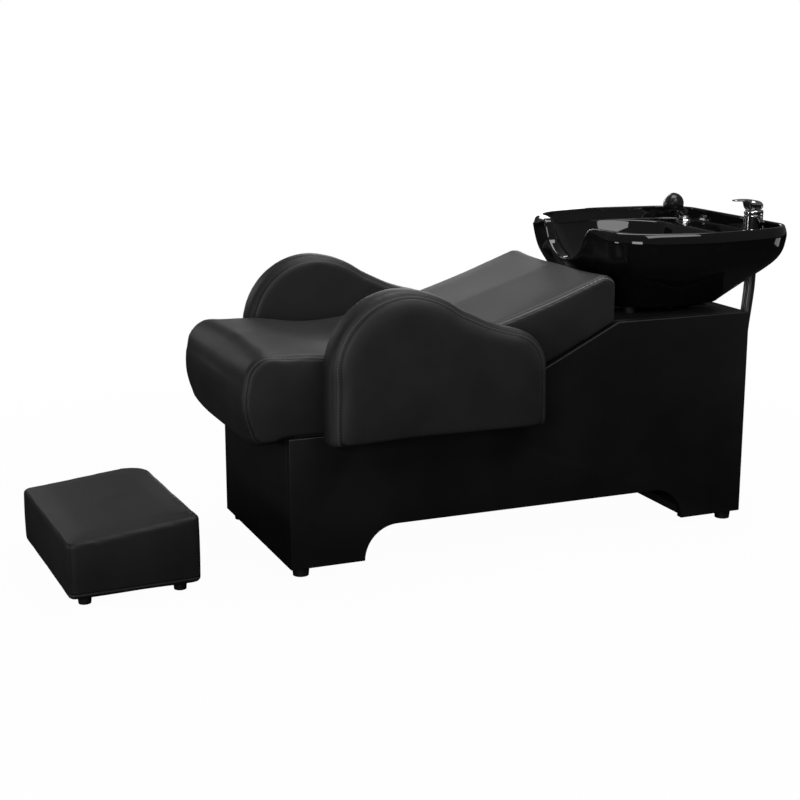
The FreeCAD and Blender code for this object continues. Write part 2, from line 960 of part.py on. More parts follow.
def back_profile():
    """The side of the back cushion: a wedge on the slope, thinner and squarer at the head end."""
    grade = (d.base_height - d.seat_deck_height) / (slope_end - slope_start)
    front = slope_start + d.back_gap / 2
    rear = slope_end - d.back_rear_setback
    rear_deck = d.base_height - d.back_rear_setback * grade
    front_top = d.seat_deck_height + d.back_front_height
    rear_top = rear_deck + d.back_rear_height
    fall = (rear_top - front_top) / (rear - front)
    front_round = d.back_front_round
    rear_round = d.back_rear_round
    front_short = front_round * (1 - ROUND_SHARE)
    rear_short = rear_round * (1 - ROUND_SHARE)
    return (
        (along(front), d.seat_deck_height + d.back_gap / 2 * grade),
        (along(rear), rear_deck),
        (along(rear), rear_top - rear_round),
        (
            (along(rear - rear_short), rear_top - rear_short),
            (along(rear - rear_round), rear_top - rear_round * fall),
        ),
        (along(front + front_round), front_top + front_round * fall),
        (
            (along(front + front_short), front_top - front_short),
            (along(front), front_top - front_round),
        ),
    )


def back():
    shape = padded(back_profile(), cushion_stations(), slope_height)
    inset = d.cushion_board_inset
    grade = (d.base_height - d.seat_deck_height) / (slope_end - slope_start)
    start = slope_start + inset
    end = slope_end - 2 * inset
    outline = (
        (start, d.seat_deck_height + inset * grade),
        (end, d.base_height - 2 * inset * grade),
        (end, d.base_height - 2 * inset * grade + d.cushion_board),
        (start, d.seat_deck_height + inset * grade + d.cushion_board),
    )
    half = base_half - inset
    pocket = slab("XZ_Plane", outline, 2 * half, (base_front, half, 0))
    node("back_cushion", cut(feature(shape), [pocket]))
    node("back_board", slab("XZ_Plane", outline, 2 * half, (base_front, half, 0)))


def arm_bar(distance):
    """A flat steel bar under the seat cushion whose ends turn up inside the two arms."""
    thick = d.arm_bar_thickness
    reach = base_half + d.arm_board + thick
    inner = reach - thick
    low = d.seat_deck_height - thick
    top = low + d.arm_bar_rise
    outline = (
        (-reach, low),
        (reach, low),
        (reach, top),
        (inner, top),
        (inner, d.seat_deck_height),
        (-inner, d.seat_deck_height),
        (-inner, top),
        (-reach, top),
    )
    return slab("YZ_Plane", outline, d.arm_bar_width, (along(distance - d.arm_bar_width / 2), 0, 0))


def arm_screw(distance, side, height, spare):
    """A screw from the bar's upright end into the arm's board, or with spare room its hole."""
    face = base_half + d.arm_board + d.arm_bar_thickness
    length = d.arm_screw_length + d.arm_bar_thickness
    turn = ALONG_Y if side == NEAR else ALONG_Y.inverted()
    at = (along(distance), side * face, height)
    shank = rod(d.arm_screw_radius + spare, length + spare, at, turn)
    head_at = (along(distance), side * (face + d.arm_screw_head_height + spare), height)
    head = rod(d.arm_screw_head_radius + spare, d.arm_screw_head_height + spare, head_at, turn)
    return fused([shank, head])


def arm_screw_places(side):
    low = d.seat_deck_height - d.arm_bar_thickness
    return [
        (distance, side, low + d.arm_bar_rise * share)
        for distance in arm_bars_x
        for share in ARM_SCREW_SHARES
    ]


def arm_board(side):
    """The plywood core of an arm, on the side that faces the seat."""
    inset = d.arm_board_inset
    length = d.arm_length - 2 * inset
    height = d.arm_height - 2 * inset
    low = d.seat_deck_height
    outline = [
        (arm_start + inset + length * share_x, low + height * share_z)
        for share_x, share_z in ARM_BOARD_SHARES
    ]
    start = base_half + d.arm_board if side == FAR else -base_half
    return slab("XZ_Plane", outline, d.arm_board, (base_front, start, 0))


def arm(side, name):
    """An arm: a padded hump with a band round its edge, over its board and the ends of the bars."""
    steps = [
        tuple(arm_point(point) for point in step) if isinstance(step[0], tuple) else arm_point(step)
        for step in ARM_SHARES
    ]
    inner = base_half + d.loose_fit
    outer = base_half + d.arm_thickness
    seam = outer - d.arm_face_crown
    stations = (
        (side * inner, d.seam_draw),
        (side * (inner + d.seam_width), 0),
        (side * (seam - d.seam_width), 0),
        (side * seam, d.seam_draw),
        (side * outer, d.arm_face_draw),
    )
    bottom = d.arm_bottom.number
    pad = feature(padded(steps, stations, lambda x: bottom))
    holes = [arm_screw(*spot, d.loose_fit) for spot in arm_screw_places(side)]
    bars = [arm_bar(distance) for distance in arm_bars_x]
    node(f"armrest_{name}_pad", cut(pad, [arm_board(side)] + bars + holes))
    board_holes = [arm_screw(*spot, d.loose_fit) for spot in arm_screw_places(side)]
    node(f"armrest_{name}_board", cut(arm_board(side), board_holes))


def arm_point(share):
    return (along(arm_start + d.arm_length * share[0]), d.arm_bottom + d.arm_height * share[1])


def arms():
    arm(NEAR, "near")
    arm(FAR, "far")
    places = arm_screw_places(NEAR) + arm_screw_places(FAR)
    bars = [arm_bar(distance) for distance in arm_bars_x]
    holes = [arm_screw(*spot, d.loose_fit) for spot in places]
    node("armrest_bars", group([cut(bar, holes) for bar in bars]))
    node("armrest_screws", group([arm_screw(*spot, 0) for spot in places]))


# Ceramic basin


def basin_outside():
    """The outer form: a narrow foot, slanted flanks, an upright band and a softened rim."""
    start = along(basin_front)
    rear = along(basin_rear)
    half = d.basin_width / 2
    band_low = rim_z - d.band_height
    lip = d.basin_lip
    foot_ring = basin_ring(
        start + d.hull_front_inset,
        rear - d.hull_rear_inset,
        half - d.hull_side_inset,
        d.hull_corner,
        basin_low,
    )
    band_ring = basin_ring(
        start + d.band_front_draft,
        rear - d.band_rear_draft,
        half - d.band_side_draft,
        d.basin_corner - d.band_side_draft,
        band_low,
    )
    rim_ring = basin_ring(start, rear, half, d.basin_corner, rim_z - lip)
    top_ring = basin_ring(start + lip, rear - lip, half - lip, d.basin_corner - lip, rim_z)
    return loft([foot_ring, band_ring, rim_ring, top_ring])


def basin_inside():
    """The hollow: a shallow tray down to the tap ledge, and the bowl below, curved like an ellipse."""
    front = along(basin_front + d.front_wall)
    rear = along(basin_rear - d.rear_wall)
    half = d.basin_width / 2 - d.side_wall
    corner = d.basin_corner - d.side_wall
    lip = d.basin_lip
    top = rim_z + d.overrun
    tray = loft([
        basin_ring(front, rear, half, corner, ledge_z),
        basin_ring(front, rear, half, corner, rim_z - lip),
        basin_ring(front - lip, rear + lip, half + lip, corner + lip, rim_z),
        basin_ring(front - lip, rear + lip, half + lip, corner + lip, top),
    ])
    ledge_front = rear - d.ledge_depth
    depth = ledge_z - floor_z
    bowl_front = front + d.bowl_step
    bowl_half = half - d.bowl_step
    rings = [basin_ring(bowl_front, ledge_front, bowl_half, d.bowl_corner, ledge_z + d.overrun)]
    for share in BOWL_DEPTH_SHARES:
        inward = 1 - math.sqrt(1 - share**2)
        ring = basin_ring(
            bowl_front + d.bowl_front_inset * inward,
            ledge_front - d.bowl_rear_inset * inward,
            bowl_half - d.bowl_side_inset * inward,
            d.bowl_corner - (d.bowl_corner - d.bowl_floor_corner) * inward,
            ledge_z - depth * share,
        )
        rings.append(ring)
    return tray.fuse(loft(rings))


def neck_notch():
    """The rounded dip in the front wall where the neck rests."""
    half = d.notch_width / 2
    low = rim_z - d.notch_depth
    shoulder = (half * NOTCH_SHOULDER_SHARES[0], low + d.notch_depth * NOTCH_SHOULDER_SHARES[1])
    slope = (half - shoulder[0]) / (rim_z - shoulder[1])
    top = rim_z + d.overrun
    wide = half + slope * d.overrun
    steps = (
        (-wide, top),
        (-shoulder[0], shoulder[1]),
        ((0, low), shoulder),
        (wide, top),
    )
    start = along(basin_front - d.overrun).number
    wire = wire_of(steps, lambda p: FreeCAD.Vector(start, number_of(p[0]), number_of(p[1])))
    reach = (d.notch_reach + d.overrun).number
    return Part.Face(wire).extrude(FreeCAD.Vector(reach, 0, 0))


def service_space():
    """The open space under the tap ledge, from which the fittings are tightened."""
    front = basin_rear - d.rear_wall - d.ledge_depth + d.service_wall
    top = ledge_z - d.ledge_thickness
    low = basin_low - d.overrun
    half = d.service_width / 2

    def ring(near, far, side, z):
        corners = ((near, -side), (far, -side), (far, side), (near, side))
        level = number_of(z)
        return wire_of(
            corners, lambda p: FreeCAD.Vector(along(p[0]).number, number_of(p[1]), level)
        )

    last = basin_rear - d.service_rear_wall
    upper = ring(front, last, half, top)
    lower = ring(front - d.service_lean, last, half - d.service_taper, low)
    return loft([upper, lower])


def basin():
    shell = basin_outside().cut(basin_inside()).cut(neck_notch()).cut(service_space())
    depth = rim_z - basin_low
    holes = [
        rod(d.drain_hole_radius, depth, (along(drain_x), 0, basin_low - d.overrun)),
        rod(
            d.tap_shank_radius + d.loose_fit,
            d.ledge_thickness + 2 * d.overrun,
            (along(tap_x), -d.tap_offset, ledge_z - d.ledge_thickness - d.overrun),
        ),
        rod(
            d.holder_radius + d.loose_fit,
            d.ledge_thickness + 2 * d.overrun,
            (along(spray_x), d.spray_offset, ledge_z - d.ledge_thickness - d.overrun),
        ),
    ]
    sockets = [
        rod(
            d.plate_bolt_radius + d.loose_fit,
            d.plate_bolt_grip + d.loose_fit + d.overrun,
            (x, y, basin_low - d.overrun),
        )
        for x, y in plate_bolt_places()
    ]
    node("basin_bowl", cut(feature(shell), holes + sockets))


# Tilt mechanism


def plate_bolt_places():
    return [
        (along(pivot_x + end * d.plate_bolt_pitch_x / 2), side * d.plate_bolt_pitch_y / 2)
        for end in (-1, 1)
        for side in (NEAR, FAR)
    ]


def bracket_bolt_places():
    return [
        (along(pivot_x + end * d.bracket_bolt_pitch_x / 2), side * d.bracket_bolt_pitch_y / 2)
        for end in (-1, 1)
        for side in (NEAR, FAR)
    ]


def headed_pin(radius, length, head_radius, head_height, at, turn=None):
    """A pin or bolt with a round head below its start."""
    outline = (
        (0, -head_height),
        (head_radius, -head_height),
        (head_radius, 0),
        (radius, 0),
        (radius, length),
        (0, length),
    )
    return turned(outline, at, turn)


def tilt_mechanism():
    seat_z = pivot_z - d.bracket_rise - d.bracket_sheet
    low = (along(pivot_x - d.rail_depth / 2), -inner_half, seat_z - d.rail_height)
    rail = box(low, (along(pivot_x + d.rail_depth / 2), inner_half, seat_z))
    bolt_low = seat_z - d.bracket_bolt_length
    rail_holes = [
        rod(d.bracket_bolt_radius + d.loose_fit, d.bracket_bolt_length, (x, y, bolt_low))
        for x, y in bracket_bolt_places()
    ]
    node("basin_rail", cut(rail, rail_holes))
    node("tilt_bracket", tilt_bracket(seat_z))
    turn_over = FreeCAD.Rotation(FreeCAD.Vector(1, 0, 0), 180)
    bolts = [
        headed_pin(
            d.bracket_bolt_radius,
            d.bracket_bolt_length - d.loose_fit,
            d.bracket_bolt_head_radius,
            d.bracket_bolt_head_height,
            (x, y, seat_z + d.bracket_sheet),
            turn_over,
        )
        for x, y in bracket_bolt_places()
    ]
    node("bracket_bolts", group(bolts))
    node("basin_plate", basin_plate())
    plate_bolts = [
        headed_pin(
            d.plate_bolt_radius,
            d.plate_sheet + d.plate_bolt_grip,
            d.bracket_bolt_head_radius,
            d.bracket_bolt_head_height,
            (x, y, basin_low - d.plate_sheet),
        )
        for x, y in plate_bolt_places()
    ]
    node("plate_bolts", group(plate_bolts))
    pivot()
    stop_height = basin_low - d.base_height - d.loose_fit
    stops = [
        rod(
            d.stop_radius, stop_height,
            (along(basin_front + d.stop_setback), side * d.stop_spread / 2, d.base_height),
        )
        for side in (NEAR, FAR)
    ]
    node("tilt_stops", group(stops))


def tilt_bracket(seat_z):
    """A bent steel channel with two ears, bolted to the rail."""
    half = d.bracket_width / 2
    sheet_thick = d.bracket_sheet
    top = seat_z + sheet_thick + d.bracket_rise + d.bracket_ear
    floor = seat_z + sheet_thick
    outline = (
        (-half, seat_z),
        (half, seat_z),
        (half, top),
        (half - sheet_thick, top),
        (half - sheet_thick, floor),
        (-half + sheet_thick, floor),
        (-half + sheet_thick, top),
        (-half, top),
    )
    start = along(pivot_x - d.bracket_depth / 2)
    channel = slab("YZ_Plane", outline, d.bracket_depth, (start, 0, 0))
    bores = [pivot_bore(d.pivot_radius + d.running_fit, half)]
    bores += [
        rod(d.bracket_bolt_radius + d.loose_fit, sheet_thick + 2 * d.overrun, (x, y, seat_z - d.overrun))
        for x, y in bracket_bolt_places()
    ]
    return cut(channel, bores)


def pivot_bore(radius, half):
    """A bore along the pivot axis, right through a piece of a given half width."""
    reach = half + d.overrun
    return rod(radius, 2 * reach, (along(pivot_x), -reach, pivot_z), ALONG_Y)


def ear_faces():
    """Inner and outer faces of the plate's ears, outside the bracket and the bushes' flanges."""
    inner = d.bracket_width / 2 + d.bush_flange + d.loose_fit
    return inner, inner + d.plate_sheet


def basin_plate():
    """The steel plate under the basin, with two ears that hang outside the bracket's ears."""
    inner, outer = ear_faces()
    half = d.plate_width / 2
    top = basin_low
    under = top - d.plate_sheet
    low = pivot_z - d.bracket_ear
    outline = (
        (-half, top),
        (-half, under),
        (-outer, under),
        (-outer, low),
        (-inner, low),
        (-inner, under),
        (inner, under),
        (inner, low),
        (outer, low),
        (outer, under),
        (half, under),
        (half, top),
    )
    start = along(pivot_x - d.plate_depth / 2)
    hat = slab("YZ_Plane", outline, d.plate_depth, (start, 0, 0))
    bores = [pivot_bore(d.pivot_radius + d.bush_wall + 2 * d.running_fit, outer)]
    bores += [
        rod(d.plate_bolt_radius + d.loose_fit, d.plate_sheet + 2 * d.overrun, (x, y, under - d.overrun))
        for x, y in plate_bolt_places()
    ]
    return cut(hat, bores)


def pivot():
    """The pivot pin with its nut, and two flanged bushes in the plate's ears."""
    inner, outer = ear_faces()
    axis = (along(pivot_x), pivot_z)
    start = -(outer + d.loose_fit)
    nut_start = outer + d.loose_fit
    length = 2 * nut_start + d.pivot_head_height
    pin = headed_pin(
        d.pivot_radius,
        length,
        d.pivot_head_radius,
        d.pivot_head_height,
        (axis[0], start, axis[1]),
        ALONG_Y,
    )
    node("pivot_pin", pin)
    nut = ring_outline(d.pivot_head_radius, d.pivot_radius + d.running_fit, 0, d.pivot_head_height)
    node("pivot_nut", turned(nut, (axis[0], nut_start, axis[1]), ALONG_Y))
    bore = d.pivot_radius + d.running_fit
    wall = bore + d.bush_wall
    bush = (
        (bore, 0),
        (d.bush_flange_radius, 0),
        (d.bush_flange_radius, d.bush_flange),
        (wall, d.bush_flange),
        (wall, d.bush_flange + d.plate_sheet),
        (bore, d.bush_flange + d.plate_sheet),
    )
    far = turned(bush, (axis[0], inner - d.bush_flange, axis[1]), ALONG_Y)
    near = turned(bush, (axis[0], -(inner - d.bush_flange), axis[1]), ALONG_Y.inverted())
    node("pivot_bushes", group([near, far]))


# Drain


def drain():
    x = along(drain_x)
    floor = floor_z
    flange = (
        (d.flange_bore_radius, -d.flange_reach),
        (d.flange_tube_radius, -d.flange_reach),
        (d.flange_tube_radius, 0),
        (d.flange_radius, 0),
        (d.flange_radius, d.flange_thickness),
        (d.flange_bore_radius, d.flange_thickness),
    )
    node("drain_flange", turned(flange, (x, 0, floor)))
    nut_low = basin_low - d.drain_nut_height
    nut_bore = d.flange_tube_radius + d.running_fit
    nut = ring_outline(d.drain_nut_radius, nut_bore, 0, d.drain_nut_height)
    node("drain_nut", turned(nut, (x, 0, nut_low)))
    tail = (
        (d.tail_bore_radius, -d.tail_length),
        (d.tail_radius, -d.tail_length),
        (d.tail_radius, -d.tail_collar),
        (d.flange_tube_radius, -d.tail_collar),
        (d.flange_tube_radius, 0),
        (d.tail_bore_radius, 0),
    )
    node("drain_tail", turned(tail, (x, 0, floor - d.flange_reach)))
    node("drain_strainer", strainer(x, floor + d.flange_thickness))
    top = floor - d.flange_reach - d.tail_length
    low = d.foot_height + d.panel + d.waste_rise
    route = [
        number_triple(drain_x + (waste_x - drain_x) * share_x, 0, top + (low - top) * share_z)
        for share_x, share_z in WASTE_SHARES
    ]
    node("waste_hose", hose("waste_hose", route, d.waste_hose_radius))
    node("waste_outlet", waste_outlet())


def strainer(x, z):
    """A lift-out hair strainer: a perforated cup with a rim and a small knob."""
    cup = d.flange_bore_radius - d.loose_fit
    wall = d.strainer_wall
    depth = d.strainer_depth
    outline = (
        (0, -depth),
        (cup, -depth),
        (cup, 0),
        (d.strainer_rim_radius, 0),
        (d.strainer_rim_radius, d.strainer_rim),
        (cup - wall, d.strainer_rim),
        (cup - wall, -depth + wall),
        (d.strainer_knob_radius, -depth + wall),
        (d.strainer_knob_radius, -depth + wall + d.strainer_knob_height),
        (0, -depth + wall + d.strainer_knob_height),
    )
    holes = []
    for count in range(STRAINER_HOLES):
        angle = 2 * math.pi * count / STRAINER_HOLES
        at = (
            x + d.strainer_hole_circle * math.cos(angle),
            d.strainer_hole_circle * math.sin(angle),
            z - depth - d.overrun,
        )
        holes.append(rod(d.strainer_hole_radius, wall + 2 * d.overrun, at))
    return cut(turned(outline, (x, 0, z)), holes)


def waste_outlet():
    """The spigot on the rear floor board that takes the waste hose."""
    low = d.foot_height
    board = d.foot_height + d.panel
    outline = (
        (d.waste_bore_radius, low),
        (d.waste_radius, low),
        (d.waste_radius, board),
        (d.waste_flange_radius, board),
        (d.waste_flange_radius, board + d.waste_flange),
        (d.waste_radius, board + d.waste_flange),
        (d.waste_radius, board + d.waste_rise),
        (d.waste_bore_radius, board + d.waste_rise),
    )
    return turned(outline, (along(waste_x), 0, 0))


# Mixer tap


def tap():
    x = along(tap_x)
    y = -d.tap_offset
    ledge = ledge_z
    top = d.tap_flange + d.tap_height
    hollow = top - d.cartridge_depth
    body = (
        (0, -d.tap_shank_length),
        (d.tap_shank_radius, -d.tap_shank_length),
        (d.tap_shank_radius, 0),
        (d.tap_flange_radius, 0),
        (d.tap_flange_radius, d.tap_flange),
        (d.tap_radius, d.tap_flange),
        (d.tap_radius, top),
        (d.cartridge_radius + d.loose_fit, top),
        (d.cartridge_radius + d.loose_fit, hollow),
        (0, hollow),
    )
    node("tap_body", turned(body, (x, y, ledge)))
    nut_low = ledge - d.ledge_thickness - d.tap_nut_height
    nut = ring_outline(d.tap_nut_radius, d.tap_shank_radius + d.running_fit, 0, d.tap_nut_height)
    node("tap_nut", turned(nut, (x, y, nut_low)))
    cartridge = (
        (0, hollow),
        (d.cartridge_radius, hollow),
        (d.cartridge_radius, top),
        (d.stem_radius, top),
        (d.stem_radius, top + d.stem_height),
        (0, top + d.stem_height),
    )
    node("tap_cartridge", turned(cartridge, (x, y, ledge)))
    tap_cap(x, y, ledge + top + d.loose_fit)


def tap_cap(x, y, z):
    """The turning cap on the cartridge's stem, with a post that carries the lever's pin."""
    stem = d.stem_radius + d.running_fit
    roof = d.stem_height + d.running_fit
    shell = (
        (stem, 0),
        (d.tap_radius, 0),
        (d.tap_radius, d.cap_height),
        (0, d.cap_height),
        (0, roof),
        (stem, roof),
    )
    pin_x = x + d.lever_pivot_setback
    pin_z = z + d.cap_height + d.lever_pivot_rise
    half_post = d.cap_post_width / 2
    post_half_length = d.cap_post_length / 2
    overlap = d.cap_height / 4
    post = box(
        (pin_x - post_half_length, y - half_post, z + d.cap_height - overlap),
        (pin_x + d.lever_rear_radius / 2, y + half_post, pin_z + d.lever_rear_radius / 2),
    )
    reach = d.lever_width / 2 + d.overrun
    hole = rod(d.lever_pin_radius + d.running_fit, 2 * reach, (pin_x, y - reach, pin_z), ALONG_Y)
    node("tap_cap", cut(fused([turned(shell, (x, y, z)), post]), [hole]))
    pin_half = d.lever_width / 2 - d.lever_tip_thickness
    pin = rod(d.lever_pin_radius, 2 * pin_half, (pin_x, y - pin_half, pin_z), ALONG_Y)
    node("lever_pin", pin)
    node("tap_lever", tap_lever(x, y, z + d.cap_height, pin_x, pin_z))


def tap_lever(x, y, deck, pin_x, pin_z):
    """The lever: a rounded block with a thin tongue in front, narrowed in plan, slotted over the post."""
    rear = d.lever_rear_radius
    low = pin_z - rear
    tip_x = x - d.lever_reach
    tip_top = deck + d.lever_tip_rise
    neck_x = x - d.lever_neck
    side_view = (
        (tip_x, tip_top - d.lever_tip_thickness),
        (neck_x, tip_top - d.lever_root_thickness),
        (neck_x, low),
        (pin_x, low, rear, LEFT),
        (pin_x + rear, pin_z, rear, LEFT),
        (pin_x, pin_z + rear),
        (tip_x, tip_top),
    )
    half = d.lever_width / 2
    tip_half = d.lever_tip_width / 2
    plan = (
        (tip_x - d.overrun, y - tip_half),
        (neck_x, y - half),
        (pin_x + rear + d.overrun, y - half),
        (pin_x + rear + d.overrun, y + half),
        (neck_x, y + half),
        (tip_x - d.overrun, y + tip_half),
    )
    side_body = slab("XZ_Plane", side_view, d.lever_width, (0, y + half, 0))
    plan_body = slab("XY_Plane", plan, d.lever_reach, (0, 0, deck - d.overrun))
    lever = common(side_body, plan_body)
    slot_half = d.cap_post_width / 2 + d.loose_fit
    slot_start = pin_x - d.cap_post_length / 2 - d.lever_rear_radius
    slot = box(
        (slot_start, y - slot_half, deck - d.overrun),
        (pin_x + rear + d.overrun, y + slot_half, pin_z + rear / 2 + d.overrun),
    )
    pin_half = d.lever_width / 2 - d.lever_tip_thickness + d.loose_fit
    bore = rod(d.lever_pin_radius + d.running_fit, 2 * pin_half, (pin_x, y - pin_half, pin_z), ALONG_Y)
    return cut(lever, [slot, bore])


# Hand spray


def spray():
    x = along(spray_x)
    y = d.spray_offset
    ledge = ledge_z
    holder = (
        (d.holder_bore_radius, -d.holder_length),
        (d.holder_radius, -d.holder_length),
        (d.holder_radius, 0),
        (d.holder_flange_radius, 0),
        (d.holder_radius + d.holder_flange, d.holder_flange),
        (d.holder_bore_radius, d.holder_flange),
    )
    node("spray_holder", turned(holder, (x, y, ledge)))
    nut_low = ledge - d.ledge_thickness - d.holder_nut_height
    nut = ring_outline(d.holder_nut_radius, d.holder_radius + d.running_fit, 0, d.holder_nut_height)
    node("holder_nut", turned(nut, (x, y, nut_low)))
    seat_z = ledge + d.holder_flange
    ferrule = (
        (0, -d.ferrule_length),
        (d.ferrule_radius, -d.ferrule_length),
        (d.ferrule_radius, 0),
        (d.ferrule_collar_radius, 0),
        (d.ferrule_collar_radius, d.ferrule_collar),
        (0, d.ferrule_collar),
    )
    node("spray_ferrule", turned(ferrule, (x, y, seat_z)))
    head_low = seat_z + d.ferrule_collar
    lean = FreeCAD.Rotation(FreeCAD.Vector(0, 1, 0), -d.spray_head_lean.number)
    root_z = head_low + d.spray_knuckle
    forward = d.spray_reach * sine(d.spray_head_lean)
    centre = (x - forward, y, root_z + d.spray_reach * cosine(d.spray_head_lean))
    node("spray_head", spray_head(x, y, head_low, centre, lean))
    node("spray_face", spray_face(centre, lean))
    drop_top = seat_z - d.ferrule_length
    drop = rod(d.spray_hose_radius, d.spray_hose_drop, (x, y, drop_top - d.spray_hose_drop))
    node("spray_hose_drop", drop)
    node("spray_hose_loop", hose("spray_hose_loop", SPRAY_ROUTE, d.spray_hose_radius))


def spray_head(x, y, low, centre, lean):
    """A ball-like head on a leaning neck that grows out of a knuckle, with a recess for its face."""
    radius = d.spray_knuckle_radius
    knuckle = (
        (0, 0),
        (radius, 0),
        (radius, d.spray_knuckle, radius, LEFT),
        (0, d.spray_knuckle + radius),
    )
    front = d.spray_head_front
    recess = d.spray_face_radius + d.loose_fit
    wand = (
        (0, -d.spray_reach),
        (d.spray_neck_radius, -d.spray_reach),
        (d.spray_neck_top_radius, -d.spray_head_back, d.spray_head_radius, LEFT),
        (d.spray_rim_radius, front - d.spray_rim),
        (d.spray_rim_radius, front),
        (recess, front),
        (recess, front - d.spray_face_depth),
        (0, front - d.spray_face_depth),
    )
    return fused([turned(knuckle, (x, y, low)), turned(wand, centre, lean)])


def spray_face(centre, lean):
    """The nozzle plate, drilled in rings."""
    low = d.spray_head_front - d.spray_face_depth
    disc = rod(d.spray_face_radius, d.spray_face_depth, (0, 0, low))
    holes = []
    for share, count in SPRAY_HOLE_RINGS.items():
        for index in range(count):
            angle = 2 * math.pi * index / count
            ring = d.spray_face_radius * share
            at = (ring * math.cos(angle), ring * math.sin(angle), low + d.spray_face_depth / 2)
            holes.append(rod(d.spray_hole_radius, d.spray_face_depth, at))
    return place(cut(disc, holes), *centre, lean)


# Supply hoses


def supply():
    node("supply_hose_hot", hose("supply_hose_hot", HOT_ROUTE, d.hose_radius))
    node("supply_hose_cold", hose("supply_hose_cold", COLD_ROUTE, d.hose_radius))
    low = ledge_z - d.tap_shank_length - d.hose_ferrule_length
    x = along(tap_x)
    y = -d.tap_offset
    side = d.port_circle * math.cos(math.radians(SUPPLY_PORT_ANGLE))
    spread = d.port_circle * math.sin(math.radians(SUPPLY_PORT_ANGLE))
    ports = ((x - side, y - spread), (x - side, y + spread), (x + d.port_circle, y))
    sleeves = [rod(d.hose_ferrule_radius, d.hose_ferrule_length, (*port, low)) for port in ports]
    node("hose_ferrules", group(sleeves))
    node("hose_grommet", hose_grommet())
    node("supply_unions", group([supply_union(hand) for hand in (NEAR, FAR)]))


def hose_grommet():
    """A rubber grommet in the rear panel; the hoses meet its outer face and the unions its inner face."""
    flange = d.grommet_flange
    outer = d.grommet_flange_radius
    outline = (
        (0, -flange),
        (outer, -flange),
        (outer, 0),
        (d.grommet_radius, 0),
        (d.grommet_radius, d.panel),
        (outer, d.panel),
        (outer, d.panel + flange),
        (0, d.panel + flange),
    )
    at = (along(d.base_length - d.panel), -d.grommet_offset, grommet_z)
    return turned(outline, at, ALONG_X)


def supply_union(hand):
    """The end of a supply hose inside the base, with the union nut that takes the house pipe."""
    end = d.base_length - d.panel - d.grommet_flange
    y = -d.grommet_offset + hand * d.grommet_pitch / 2
    nut_end = end - d.union_tail
    nut_start = nut_end - d.union_nut_length
    tail = rod(d.hose_radius, d.union_tail, (along(nut_end), y, grommet_z), ALONG_X)
    nut = ring_outline(d.union_nut_radius, d.union_bore_radius, 0, d.union_nut_length)
    return fused([tail, turned(nut, (along(nut_start), y, grommet_z), ALONG_X)])


# Footstool


def on_stool(item):
    """Move a piece made about the stool's middle to where the stool stands, turned a little."""
    item.Placement = FreeCAD.Placement(
        FreeCAD.Vector(), FreeCAD.Rotation(FreeCAD.Vector(0, 0, 1), d.stool_yaw.number)
    )
    item.setExpression("Placement.Rotation.Angle", d.stool_yaw.text)
    item.setExpression("Placement.Base.x", along(-d.stool_distance).text)
    item.setExpression("Placement.Base.y", (-d.stool_offset).text)
    return item


def stool():
    inset = d.stool_frame_inset
    half_x = d.stool_length / 2 - inset
    half_y = d.stool_width / 2 - inset
    wall = d.stool_frame_wall
    low = d.foot_height
    top = d.stool_frame_top
    floor_top = low + d.stool_floor
    core = box((-half_x, -half_y, low), (half_x, half_y, top))
    node("stool_pad", on_stool(cut(feature(stool_cover()), [core])))
    outside = box((-half_x, -half_y, low), (half_x, half_y, top))
    hollow_x = half_x - wall
    hollow_y = half_y - wall
    inside = box((-hollow_x, -hollow_y, low - d.overrun), (hollow_x, hollow_y, top - wall))
    node("stool_frame", on_stool(cut(outside, [inside])))
    places = [
        (
            end * (d.stool_length / 2 - d.stool_foot_end_inset),
            side * (d.stool_width / 2 - d.stool_foot_side_inset),
        )
        for end in (-1, 1)
        for side in (NEAR, FAR)
    ]
    board = box((-hollow_x, -hollow_y, low), (hollow_x, hollow_y, floor_top))
    holes = [
        rod(d.screw_radius + d.loose_fit, d.stool_floor + d.screw_length, (x, y, low - d.overrun))
        for x, y in places
    ]
    node("stool_floor", on_stool(cut(board, holes)))
    node("stool_feet", on_stool(group([foot(x, y, d.stool_foot_radius) for x, y in places])))
    node("stool_foot_screws", on_stool(group([foot_screw(x, y) for x, y in places])))


def stool_cover():
    """The stool's upholstery: upright sides, a rolled edge and a top that rises to the bed."""
    half_x = d.stool_length / 2
    half_y = d.stool_width / 2
    low = d.foot_height
    edge = d.stool_height - d.stool_crown

    def ring(inward, z, lean=0):
        outline = round_ring(-half_x + inward, half_x - inward, half_y - inward, d.stool_corner, z)
        middle = FreeCAD.Vector(0, 0, number_of(z))
        outline.rotate(middle, FreeCAD.Vector(0, 1, 0), -lean)
        return outline

    lean = d.stool_lean.number
    draw_in = d.seam_draw / 2
    short = d.stool_round * (1 - ROUND_SHARE)
    return loft([
        ring(draw_in, low),
        ring(0, low + d.seam_width),
        ring(0, edge - d.stool_round, lean),
        ring(short, edge - short, lean),
        ring(d.stool_round, edge, lean),
        ring(d.stool_round + d.stool_corner, d.stool_height, lean),
    ])


base_panels()
base_feet()
seat()
back()
arms()
basin()
tilt_mechanism()
drain()
tap()
spray()
supply()
stool()
document.recompute()

for item in document.Objects:
    if "Invalid" in item.State or "Error" in item.State:
        raise RuntimeError(f"{item.Label} failed: {item.State}")
for label, item in nodes.items():
    if item.Shape.isNull() or not item.Shape.isValid() or not item.Shape.Solids:
        raise RuntimeError(f"{label} has no valid shape")

os.makedirs("parts", exist_ok=True)
for label, item in nodes.items():
    item.Shape.exportStep(f"parts/{label}.step")
print(f"{len(nodes)} nodes")
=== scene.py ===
import math
from contextlib import contextmanager
from functools import cached_property, reduce

